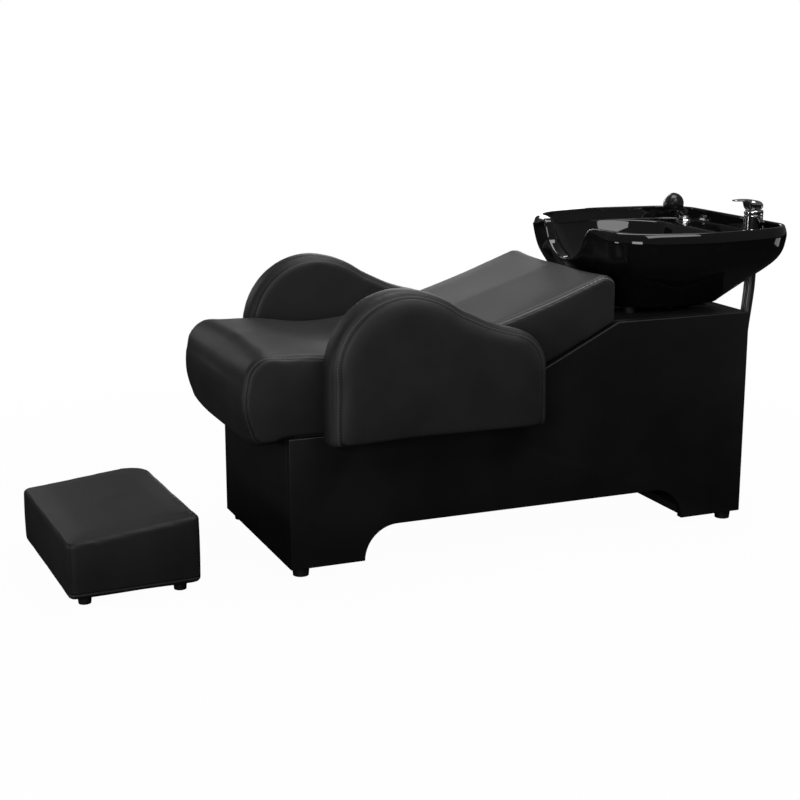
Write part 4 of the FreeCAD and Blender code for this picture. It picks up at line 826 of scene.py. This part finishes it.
class BED_OT_arms(bpy.types.Operator):
    """Make the two padded arms"""

    bl_idname = "bed.arms"
    bl_label = "Arms"

    def execute(self, context):
        sizes = context.scene.bed_cushions
        inner = BASE_HALF + 0.0006
        for side, name in ((-1, "near"), (1, "far")):
            nodes = (f"armrest_{name}_pad", f"armrest_{name}_board")
            low, high = node_box(nodes[0])
            outer = max(abs(low[1]), abs(high[1]))

            def boxing(points, normals):
                across = (points[:, 1] * side - inner) / (outer - inner) * 2 - 1
                swell = 0.006 * unit(1 - across**2)
                points[:, 0] += normals[:, 0] * swell
                points[:, 2] += normals[:, 2] * swell
                return points

            def room(points):
                points[:, 1] = held(points[:, 1] * side, inner, outer + 0.005, 0.002) * side
                return points

            upholster(
                f"arm_{name}_cover", nodes, sizes, room,
                (side * (inner + 0.008), side * (outer - 0.007)),
                ((low[0] + high[0]) / 2, low[2] + 0.35 * (high[2] - low[2])), boxing,
            )
        return {"FINISHED"}


class BED_OT_footstool(bpy.types.Operator):
    """Make the footstool's cover"""

    bl_idname = "bed.footstool"
    bl_label = "Footstool"

    def execute(self, context):
        sizes = context.scene.bed_cushions
        low, high = node_box("stool_pad")
        seam = low[2] + 0.012

        def room(points):
            points[:, 2] = np.clip(points[:, 2], low[2], high[2] + 0.004)
            return points

        obj = cushion(stool_block(low, high), sizes, None, room, 1, 0.3, 0.75)
        # Painted shade: the stool has the bed's own leather, painted darker (0.62) so that its top
        # reads dimmer.
        material = leather("stool_leather", sizes, (seam,), "Z", shade=0.62)
        dress(obj, "footstool", material, "stool_pad", slot="leather")
        return {"FINISHED"}


def stool_block(low, high):
    """The footstool's loose cover: rounded rectangles stacked up, then turned a little.

    The upper half leans: its heights grow along X, so that the top rises towards the bed.
    """
    half_x, half_y, corner = 0.1385, 0.2205, 0.014
    turn = math.radians(2.2)
    rise = math.tan(math.radians(5.5))
    top = high[2] - half_x * rise
    steps = np.array((
        (half_x, low[2]), (0.004, low[2]), (0, low[2] + 0.003), (0, low[2] + 0.02),
        (0, top - 0.010), (0, top - 0.003), (0.003, top), (0.05, top + 0.003),
        (half_x, top + 0.004),
    ))
    inset = steps[:, 0]
    corners = np.full(len(inset), corner)
    rows = np.stack((inset - half_x, half_x - inset, half_y - inset, corners, steps[:, 1]), -1)
    points = rounded_rings(rows, ring_columns(24, 16, 8), (1, 4.5, 1, 1))
    points[..., 2] += points[..., 0] * rise * (np.arange(len(rows)) > 3)[:, None]
    spin = np.array(Matrix.Rotation(turn, 3, "Z"))
    middle = np.append((low + high)[:2] / 2, 0)
    return welded("stool_cover", points @ spin.T + middle, grid_faces(len(rows), points.shape[1]))


class BED_OT_cabinet(bpy.types.Operator):
    """Make the base's panels with their eased edges, and finish its boards"""

    bl_idname = "bed.cabinet"
    bl_label = "Cabinet"

    def execute(self, context):
        sizes = context.scene.bed_hard
        faced = faced_board("panel_black", sizes.board)
        # Painted highlight: the eased edges get the same board five times lighter, standing in for
        # light caught along the panels' rounded edges.
        band = faced_board("panel_edge_highlight", lighter(sizes.board, 5.0), 0.25)
        for node in (
            "base_side_near", "base_side_far", "base_front_panel", "base_rear_panel", "basin_deck",
        ):
            obj = panel_copy(node, sizes.edge)
            dress(obj, "base", faced, node, slot="veneer")
            obj.data.materials.append(band)
            normals = np.empty(len(obj.data.polygons) * 3)
            obj.data.polygons.foreach_get("normal", normals)
            normals = normals.reshape(-1, 3)
            # The bevel faces along the top edges, which carry the painted highlight.
            highlight_edge_faces = (np.abs(normals[:, 1]) > 0.15) & (normals[:, 2] > 0.15)
            obj.data.polygons.foreach_set("material_index", highlight_edge_faces.astype(np.int32))
        coat(
            hidden_board("plywood"), "seat_deck", "back_deck", "base_floor_front",
            "base_floor_rear", "seat_board", "back_board", "basin_rail", "stool_frame",
            "stool_floor",
        )
        plastic = moulded("foot_plastic", sizes.plastic)
        for node, body in (("base_feet", "base"), ("stool_feet", "footstool")):
            dress(copy_of(node, f"{node}_moulded", 30.0), body, plastic, node, slot="plastic")
        return {"FINISHED"}


def panel_copy(node, width):
    """A panel with its flat faces joined and its edges eased by a small bevel."""
    obj = copy_of(node, f"{node}_faced", 30.0)
    with edited(obj.data) as work:
        bmesh.ops.dissolve_limit(
            work, angle_limit=math.radians(1.0), verts=work.verts, edges=work.edges,
        )
    bevel = obj.modifiers.new("edge", "BEVEL")
    bevel.width = width
    bevel.segments = 2
    bevel.limit_method = "ANGLE"
    bevel.angle_limit = math.radians(35)
    bevel.use_clamp_overlap = True
    settle(obj)
    shade(obj.data, 30.0)
    return obj


# Basin


class BED_OT_basin(bpy.types.Operator):
    """Make the glazed basin and its drain"""

    bl_idname = "bed.basin"
    bl_label = "Basin"

    def execute(self, context):
        sizes = context.scene.bed_hard
        obj = basin_surface()
        carve(obj, basin_cutters())
        shade(obj.data, 38.0)
        dress(obj, "basin", glaze("black_glaze", sizes.glaze), "basin_bowl", slot="ceramic")
        bright = chrome("drain_chrome", sizes.chrome)
        low, high = node_box("drain_flange")
        x = (low[0] + high[0]) / 2
        flange = (
            (0.0212, low[2]), (0.024, low[2]), (0.024, high[2] - 0.003), (0.033, high[2] - 0.003),
            (0.033, high[2] - 0.0014), (0.028, high[2] - CLEAR), (0.0212, high[2] - CLEAR),
        )
        middle = (x, 0, 0)
        fitting("drain_ring", flange, middle, 0.0006, "basin", bright, "drain_flange", wrap=True)
        coat(plated("strainer_steel", (0.62, 0.63, 0.64), 0.22), "drain_strainer")
        return {"FINISHED"}


def basin_rows():
    """Control rows of the basin's section: up the outside, over the rim and down inside.

    Down to the ledge, a row gives in millimetres how far it lies in from the front, the rear and
    the side, and its corner radius; then comes its level. The bowl below goes in by a rounded
    curve: a quarter of the way straight with the depth, the rest as a quarter circle does.
    """
    front, half, low = BASIN_LOW[0], BASIN_HIGH[1], BASIN_LOW[2]
    rear = BASIN_HIGH[0]
    floor = low + 0.020
    drain = sum(corner[0] for corner in node_box("drain_flange")) / 2
    wall = [
        (front + ahead / 1000, rear - behind / 1000, half - beside / 1000, corner / 1000, level)
        for ahead, behind, beside, corner, level in (
            (56, 138, 108, 55, low), (52, 134, 104, 58, low), (51, 131, 102, 58, low + 0.004),
            (34, 78, 60, 66, low + 0.050), (15, 26, 16, 78, RIM - 0.086),
            (8, 7, 5, 82, RIM - 0.060), (2, 1, 1, 85, RIM - 0.032), (0, 0, 0, 85, RIM - 0.020),
            (3, 3, 4, 83, RIM - 0.006),
            (8, 6, 7, 80, RIM), (16, 9, 10, 75, RIM), (28, 15, 16, 69, RIM),
            (28, 15, 16.5, 67, RIM - 0.010), (29, 15, 22, 64, TAP_LEDGE + 0.008),
            (29, 15, 25, 62, TAP_LEDGE), (29.2, 24, 25.2, 62, TAP_LEDGE),
            (29.4, 98, 25.4, 86, TAP_LEDGE), (29.6, 108, 25.6, 92, TAP_LEDGE),
        )
    ]
    share = np.array((0.06, 0.18, 0.33, 0.48, 0.62, 0.74, 0.84, 0.92, 0.975, 1.0))
    inward = 0.25 * share + 0.75 * (1 - np.sqrt(1 - share**2))
    bowl = np.stack((
        front + 0.0298 + 0.091 * inward,
        rear - 0.110 - 0.130 * inward,
        half - 0.0258 - 0.161 * inward,
        0.092 - 0.040 * inward,
        TAP_LEDGE - (TAP_LEDGE - floor) * share,
    ), -1)
    hole = [
        (drain - reach, drain + reach, reach, reach, level)
        for reach, level in (
            (0.044, floor), (0.030, floor), (0.0255, floor), (0.025, floor - 0.002),
            (0.025, low + 0.004), (0.025, low), (0.028, low), (0.060, low),
        )
    ]
    return np.concatenate((wall, bowl, hole))


def basin_surface():
    """The basin: barrel shaped rings along a closed section, its front wall dipped for the neck.

    Each ring is a rounded rectangle whose width shrinks from its widest place to the front and
    the rear by a smoothed straight taper. The dip is an arc with straight shoulders: the wall's
    heights above a base level shrink in the share that the dip leaves, and the lip leans forward
    there.
    """
    section = closed_spline(basin_rows())
    points = rounded_rings(section, ring_columns(72, 26, 18))
    rows, columns = points.shape[:2]
    low_x, high_x, half = (section[:, index, None] for index in range(3))
    widest = 0.47
    along = (points[..., 0] - low_x) / (high_x - low_x) - widest
    away = np.where(along < 0, -along / widest, along / (1 - widest))
    taper = (np.sqrt(away**2 + 0.06) - 0.245) / 0.785 * np.where(along < 0, 0.15, 0.12)
    points[..., 1] *= 1 - taper * unit((half - 0.06) / 0.04)
    across = np.abs(points[..., 1])
    radius, depth, shoulder = 0.113, 0.079, 0.080
    drop = np.sqrt(np.maximum(radius**2 - np.minimum(across, shoulder) ** 2, 0))
    sill = RIM - depth + radius - drop + np.maximum(across - shoulder, 0) * 1.9
    top = soft_least(sill, RIM, 0.006)
    base = RIM - 0.128
    wall = (points[..., 0] < BASIN_LOW[0] + 0.12) & (points[..., 2] > base)
    share = unit((points[..., 2] - base) / (RIM - base))
    lean = 0.020 * share**3 * unit((0.165 - across) / 0.07)
    points[..., 0] -= np.where(wall, lean, 0)
    points[..., 2] = np.where(wall, base + share * (top - base), points[..., 2])
    return welded("basin_glazed", points, grid_faces(rows, columns, wrap_rows=True), 38.0)


def basin_cutters():
    """The space under the tap ledge, and the holes for the tap and the spray's holder."""
    rear = BASIN_HIGH[0]
    rows = np.array((
        (rear - 0.122, rear - 0.017, 0.140, 0.012, BASIN_LOW[2] - 0.004),
        (rear - 0.094, rear - 0.017, 0.200, 0.012, RIM - 0.043),
    ))
    points = rounded_rings(rows, ring_columns(2, 2, 6))
    cutters = [welded("service_cutter", points, stack_faces(2, points.shape[1]))]
    low, high = RIM - 0.060, RIM - 0.020
    for node, reach in (("tap_body", 0.0168), ("spray_holder", 0.0148)):
        x, y = sum(node_box(node))[:2] / 2
        corners = ((0, low), (reach, low), (reach, high), (0, high))
        cutters.append(turned(f"{node}_cutter", corners, (x, y, 0), 0.00001, 48))
    return cutters


# Tap


class BED_OT_tap(bpy.types.Operator):
    """Make the chrome mixer tap"""

    bl_idname = "bed.tap"
    bl_label = "Tap"

    def execute(self, context):
        bright = chrome("tap_chrome", context.scene.bed_hard.chrome)
        low, high = node_box("tap_body")
        x, y = ((low + high) / 2)[:2]
        ledge = TAP_LEDGE
        top = high[2]
        body = (
            (0, low[2]), (0.0165, low[2]), (0.0165, ledge), (0.0245, ledge),
            (0.0245, ledge + 0.003), (0.0232, ledge + 0.005), (0.0222, ledge + 0.010),
            (0.0222, top - 0.004),
            (0.0225, top - 0.003), (0.0225, top), (0.0178, top), (0.0178, top - 0.020),
            (0, top - 0.020),
        )
        fitting("tap_barrel", body, (x, y, 0), 0.0012, "basin", bright, "tap_body")
        cap_low, cap_high = node_box("tap_cap")
        deck = cap_low[2] + 0.011
        cap = (
            (0, cap_low[2] + 0.0062), (0.0062, cap_low[2] + 0.0062), (0.0062, cap_low[2]),
            (0.0225, cap_low[2]), (0.0225, deck - 0.002), (0.021, deck), (0, deck),
        )
        fitting("tap_dome", cap, (x, y, 0), 0.002, "tap_turner", bright, "tap_cap")
        post = box_surface(
            "tap_post", (x + 0.0026, y - 0.004, deck - 0.0026),
            (x + 0.0151, y + 0.004, cap_high[2]), 0.0008,
        )
        dress(post, "tap_turner", bright, slot="chrome")
        dress(lever_surface(deck), "tap_handle", bright, "tap_lever", slot="chrome")
        coat(plated("pin_steel", (0.6, 0.6, 0.62)), "lever_pin")
        return {"FINISHED"}


def box_surface(name, low, high, edge):
    """A block with its edges rounded: rounded rectangles stacked from bottom to top."""
    low, high = np.array(low), np.array(high)
    middle = (low[1] + high[1]) / 2
    half = (high[1] - low[1]) / 2
    rows = np.array((
        (low[0], high[0], half, edge, low[2]),
        (low[0], high[0], half, edge, high[2] - edge),
        (low[0] + edge / 2, high[0] - edge / 2, half - edge / 2, edge, high[2]),
    ))
    points = rounded_rings(rows, ring_columns(4, 4, 5))
    points[..., 1] += middle
    return welded(name, points, stack_faces(3, points.shape[1]), 45.0)


def lever_surface(deck):
    """The lever: rounded sections from a domed block at the rear to the tip of a thin tongue.

    Each section is a super-ellipse across the tap. Its top climbs gently to the tip, and its
    underside leaves the block by a smooth step and follows the top. A slot for the post is cut
    from below.
    """
    low, high = node_box("tap_lever")
    middle = (low[1] + high[1]) / 2
    rows, columns, power, length = 60, 48, 0.6, 80.4
    share = np.linspace(0, 1, rows)[:, None]
    x = high[0] + (low[0] - high[0]) * share
    back = (high[0] - x) * 1000
    rear_end = np.sqrt(unit(1 - (1 - np.minimum(back / 15, 1)) ** 2))
    tip_end = np.sqrt(unit(1 - (np.maximum(share - 0.94, 0) / 0.06) ** 2))
    stations = (0, 10, 18, 28, 40, 55, length)
    climb = np.interp(back, stations, (19, 21.4, 23, 24.9, 26.2, 26.5, 25.6))
    over = deck + climb / 1000
    step = unit((back - 37) / 9)
    step = step * step * (3 - 2 * step)
    tongue = over - np.interp(back, (40, length), (6.0, 3.2)) / 1000
    heel = unit(1 - back / 10.5) * 0.0038
    under = (deck + 0.0008) * (1 - step) + tongue * step + heel
    rounding = 0.35 + 0.65 * rear_end
    thick = (over - under) / 2 * rounding * rear_end**0.2 * tip_end
    level = under + (over - under) / 2 * rounding
    wide = np.interp(back, (0, 30, 44, length), (20, 20, 14.5, 8.5)) / 1000 * rear_end * tip_end
    angle = np.linspace(0, 2 * np.pi, columns, endpoint=False)[None, :]
    y = middle + wide * np.sign(np.cos(angle)) * np.abs(np.cos(angle)) ** power
    z = level + thick * np.sign(np.sin(angle)) * np.abs(np.sin(angle)) ** power
    points = np.stack((np.broadcast_to(x, y.shape), y, z), -1)
    obj = welded("tap_handle_bar", points, grid_faces(rows, columns), 50.0)
    slot = box_surface(
        "slot_cutter", (high[0] - 0.0283, middle - 0.0044, deck - 0.004),
        (high[0] + 0.004, middle + 0.0044, deck + 0.0182), 0.0006,
    )
    carve(obj, [slot])
    shade(obj.data, 40.0)
    return obj


# Hand spray


class BED_OT_spray(bpy.types.Operator):
    """Make the hand spray and its holder"""

    bl_idname = "bed.spray"
    bl_label = "Spray"

    def execute(self, context):
        sizes = context.scene.bed_hard
        bright = chrome("spray_chrome", sizes.chrome)
        black = moulded("spray_black", sizes.plastic, 0.20)
        low, high = node_box("spray_holder")
        x, y = ((low + high) / 2)[:2]
        ledge = TAP_LEDGE
        holder = (
            (0.0115, low[2]), (0.0145, low[2]), (0.0145, ledge), (0.023, ledge),
            (0.023, ledge + 0.0015), (0.0195, high[2] - CLEAR), (0.0115, high[2] - CLEAR),
        )
        upright = (x, y, 0)
        fitting("holder_ring", holder, upright, 0.0008, "basin", bright, "spray_holder", wrap=True)
        low, high = node_box("spray_ferrule")
        seat = low[2] + 0.022
        ferrule = (
            (0, low[2]), (0.011, low[2]), (0.011, seat), (0.014, seat), (0.014, seat + 0.0025),
            (0.0132, seat + 0.0035), (0.014, seat + 0.0045), (0.0135, high[2]), (0, high[2]),
        )
        fitting("spray_collar", ferrule, upright, 0.0006, "spray", bright, "spray_ferrule")
        neck = high[2]
        lean = math.radians(52)
        tip = Matrix.Rotation(-lean, 4, "Y")
        reach, stem, ball_radius = 0.043, 0.0105, 0.026
        centre = (x - reach * math.sin(lean), y, neck + 0.006 + reach * math.cos(lean))
        bend = np.linspace(0, np.pi / 2, 6)
        knuckle = [(0, neck), (stem, neck)]
        knuckle += list(zip(stem * np.cos(bend), neck + 0.006 + stem * np.sin(bend)))
        height = np.array((-0.0195, -0.015, -0.009, -0.002, 0.005, 0.0105))
        ball = list(zip(np.sqrt(ball_radius**2 - height**2), height))
        wand = [(0, -reach), (0.009, -reach), (stem, -0.030), (0.0135, -0.0225)] + ball
        wand += [(0.0216, 0.0150), (0.0206, 0.0158), (0.0204, 0.012), (0, 0.012)]
        fitting("spray_neck", knuckle, upright, 0.0006, "spray", black, slot="gloss")
        fitting(
            "spray_shell", wand, centre, 0.002, "spray", black, "spray_head",
            slot="gloss", turn=tip,
        )
        plate = [
            (0, 0.0122), (0.0200, 0.0122), (0.0200, 0.0150), (0.0165, 0.0178), (0.0105, 0.0203),
            (0, 0.0215),
        ]
        jets = nozzles("nozzle_plate", sizes.plastic)
        fitting(
            "spray_plate", plate, centre, 0.0012, "spray", jets, "spray_face",
            slot="plastic", turn=tip,
        )
        return {"FINISHED"}


# Hoses


class BED_OT_hoses(bpy.types.Operator):
    """Make the supply hoses and the spray's hose"""

    bl_idname = "bed.hoses"
    bl_label = "Hoses"

    def execute(self, context):
        sizes = context.scene.bed_hard
        steel = braided("hose_braid", (0.46, 0.47, 0.48), sizes.braid, 0.005)
        black = braided("spray_hose_braid", (0.10, 0.10, 0.105), sizes.braid, 0.0055)
        spray_nodes = ("spray_hose_loop", "spray_hose_drop")
        for name, controls, radius, material, nodes, stiffness in (
            ("hot_hose", HOT_ROUTE, 0.005, steel, ("supply_hose_hot",), "medium"),
            ("cold_hose", COLD_ROUTE, 0.005, steel, ("supply_hose_cold",), "medium"),
            ("spray_hose", SPRAY_ROUTE, 0.0055, black, spray_nodes, "limp"),
        ):
            route = from_front(controls)
            obj, path = hose(name, route, radius)
            dress(obj, None, material, *nodes, slot="rubber")
            if controls is SPRAY_ROUTE:
                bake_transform(obj)
            else:
                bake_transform(obj)
        coat(chrome("sleeve_chrome", sizes.chrome), "hose_ferrules")
        return {"FINISHED"}


def from_front(controls):
    """A route's control points in metres, moved from the base's front face to their places."""
    return np.array(controls) / 1000 + (BASE_FRONT, 0, 0)


def spline_points(name, route):
    """Points along the smooth spline whose control points are a hose's route."""
    curve = bpy.data.curves.new(f"{name}_line", "CURVE")
    curve.dimensions = "3D"
    spline = curve.splines.new("NURBS")
    spline.points.add(len(route) - 1)
    spline.points.foreach_set("co", np.column_stack((route, np.ones(len(route)))).ravel())
    spline.order_u = 3
    spline.use_endpoint_u = True
    spline.resolution_u = 10
    holder = linked(f"{name}_line", curve)
    graph = bpy.context.evaluated_depsgraph_get()
    mesh = bpy.data.meshes.new_from_object(holder.evaluated_get(graph))
    path = vertex_array(mesh)
    bpy.data.objects.remove(holder)
    bpy.data.curves.remove(curve)
    bpy.data.meshes.remove(mesh)
    return path


def hose(name, route, radius, columns=20):
    """A tube round a spline, mapped by length along it and turn round it; returns it and its path.

    Each ring stands across the path's direction, on two sides worked out from a fixed slanted one.
    """
    path = spline_points(name, route)
    ahead = np.gradient(path, axis=0)
    ahead /= np.linalg.norm(ahead, axis=1, keepdims=True)
    slant = np.array((0.9, 0.4, 0.1))
    side = np.cross(ahead, slant)
    side /= np.linalg.norm(side, axis=1, keepdims=True)
    up = np.cross(ahead, side)
    ring = columns + 1
    turn = np.linspace(0, 1, ring)
    angle = 2 * np.pi * turn[None, :, None]
    points = path[:, None] + radius * (np.cos(angle) * side[:, None] + np.sin(angle) * up[:, None])
    last = (len(path) - 1) * ring
    caps = [list(range(columns)), list(range(last, last + columns))]
    faces = grid_faces(len(path), ring, wrap_columns=False)
    mesh = bpy.data.meshes.new(name)
    mesh.from_pydata(points.reshape(-1, 3).tolist(), [], faces + caps)
    steps = np.linalg.norm(np.diff(path, axis=0), axis=1)
    length = np.concatenate(([0], np.cumsum(steps)))
    chart = np.stack(np.broadcast_arrays(length[:, None], turn[None, :]), -1)
    loops = np.empty(len(mesh.loops), dtype=int)
    mesh.loops.foreach_get("vertex_index", loops)
    layer = mesh.uv_layers.new(name="hose_map")
    layer.data.foreach_set("uv", chart.reshape(-1, 2)[loops].ravel())
    return soldered(name, mesh, 50.0), path


class BED_OT_fittings(bpy.types.Operator):
    """Finish the small fittings that stay as they are"""

    bl_idname = "bed.fittings"
    bl_label = "Fittings"

    def execute(self, context):
        sizes = context.scene.bed_hard
        paint = plated("bracket_paint", (0.03, 0.03, 0.032), 0.45)
        coat(paint, "tilt_bracket", "basin_plate", "armrest_bars")
        coat(
            plated("zinc", (0.55, 0.56, 0.58)), "base_foot_screws", "stool_foot_screws",
            "armrest_screws", "bracket_bolts", "plate_bolts", "pivot_pin", "pivot_nut",
        )
        coat(plated("brass", (0.60, 0.44, 0.20), 0.28), "tap_nut", "supply_unions")
        coat(
            moulded("pipe_plastic", sizes.plastic), "holder_nut", "drain_nut", "drain_tail",
            "waste_outlet", "pivot_bushes", "tap_cartridge",
        )
        rubber = moulded("rubber", lighter(sizes.plastic, 1.2), 0.6)
        coat(rubber, "tilt_stops", "hose_grommet", "waste_hose")
        return {"FINISHED"}


# Stage


class BED_OT_stage(bpy.types.Operator):
    """Set up the camera, the floor and the light"""

    bl_idname = "bed.stage"
    bl_label = "Stage"

    def execute(self, context):
        scene = context.scene
        sizes = scene.bed_stage
        scene.view_settings.view_transform = "Standard"
        camera = bpy.data.cameras.new("camera")
        camera.lens = sizes.lens
        camera.sensor_width = 36.0
        camera.clip_end = 100.0
        eye = linked("camera", camera)
        eye.location = (BASE_FRONT + sizes.place[0], sizes.place[1], sizes.place[2])
        eye.rotation_euler = (math.pi / 2 - sizes.pitch, 0, -sizes.yaw)
        scene.camera = eye
        floor_plane()
        surround(scene, sizes.fill)
        for lamp in LAMPS:
            area_lamp(*lamp)
        return {"FINISHED"}


def seen_straight(finish):
    """1 for rays from the camera and through glass, 0 for all others."""
    path = finish.node("ShaderNodeLightPath").socket.node.outputs
    kinds = ("Is Camera Ray", "Is Transmission Ray")
    return finish.most([Signal(finish, path[kind]) for kind in kinds])


def floor_plane():
    """A wide pale floor that keeps a faint shadow: mostly its own white, wholly so far away."""
    reach = 14.0
    corners = reach * np.array(((-1, -1, 0), (1, -1, 0), (1, 1, 0), (-1, 1, 0)))
    floor = welded("floor", corners, [[0, 1, 2, 3]])
    finish = Finish("floor_white")
    straight = seen_straight(finish)
    x, y, _ = finish.axes(finish.place)
    away = finish.math("SQRT", x * x + y * y)
    tone = straight * 0.83 + 0.03
    shade = finish.node("ShaderNodeCombineColor", None, {0: tone, 1: tone, 2: tone})
    lit = finish.node("ShaderNodeBsdfDiffuse", None, {"Color": shade})
    own = finish.node("ShaderNodeEmission", None, {"Color": (1, 1, 1, 1), "Strength": 1.0})
    shown = straight * (0.975 + finish.band(away, 0.9, 2.2) * 0.025)
    mixed = finish.node("ShaderNodeMixShader", None, {0: shown, 1: lit, 2: own})
    finish.node("ShaderNodeOutputMaterial", None, {"Surface": mixed})
    floor.data.materials.append(finish.material)


def surround(scene, fill):
    """White all round for what is seen, and a softer even light on the object."""
    scene.world = bpy.data.worlds.new("studio")
    finish = Finish("studio", scene.world)
    strength = seen_straight(finish) * (1 - fill) + fill
    back = finish.node("ShaderNodeBackground", None, {"Color": (1, 1, 1, 1), "Strength": strength})
    finish.node("ShaderNodeOutputWorld", None, {"Surface": back})


def area_lamp(name, place, aim, size, power):
    """A rectangular soft lamp that looks at a point."""
    lamp = bpy.data.lights.new(name, "AREA")
    lamp.shape = "RECTANGLE"
    lamp.size, lamp.size_y = size
    lamp.energy = power
    obj = linked(name, lamp)
    x, y, z = np.array(aim) - np.array(place)
    obj.rotation_euler = (math.atan2(math.hypot(x, y), -z), 0, math.atan2(y, x) - math.pi / 2)
    obj.location = place
    obj.visible_camera = False


class BED_PT_panel(bpy.types.Panel):
    """The bed's settings and steps"""

    bl_label = "Shampoo Bed"
    bl_idname = "BED_PT_panel"
    bl_space_type = "VIEW_3D"
    bl_region_type = "UI"
    bl_category = "Shampoo Bed"

    def draw(self, context):
        for group in (context.scene.bed_cushions, context.scene.bed_hard, context.scene.bed_stage):
            box = self.layout.box()
            for name in group.bl_rna.properties.keys():
                if name not in {"rna_type", "name"}:
                    box.prop(group, name)
        for step in STEPS:
            self.layout.operator(step.bl_idname)


GROUPS = {"bed_cushions": CushionSizes, "bed_hard": HardSizes, "bed_stage": StageSizes}
STEPS = (
    BED_OT_stage, BED_OT_hoses, BED_OT_cabinet, BED_OT_cushions, BED_OT_arms, BED_OT_footstool,
    BED_OT_basin, BED_OT_tap, BED_OT_spray, BED_OT_fittings,
)
CLASSES = (*GROUPS.values(), *STEPS, BED_PT_panel)


def register():
    for one in CLASSES:
        bpy.utils.register_class(one)
    for name, group in GROUPS.items():
        setattr(bpy.types.Scene, name, PointerProperty(type=group))


def unregister():
    for name in GROUPS:
        delattr(bpy.types.Scene, name)
    for one in reversed(CLASSES):
        bpy.utils.unregister_class(one)


def main():
    register()
    bpy.ops.bed.stage()
    bpy.ops.bed.hoses()
    bpy.ops.bed.cabinet()
    bpy.ops.bed.cushions()
    bpy.ops.bed.arms()
    bpy.ops.bed.footstool()
    bpy.ops.bed.basin()
    bpy.ops.bed.tap()
    bpy.ops.bed.spray()
    bpy.ops.bed.fittings()


if __name__ == "__main__":
    main()
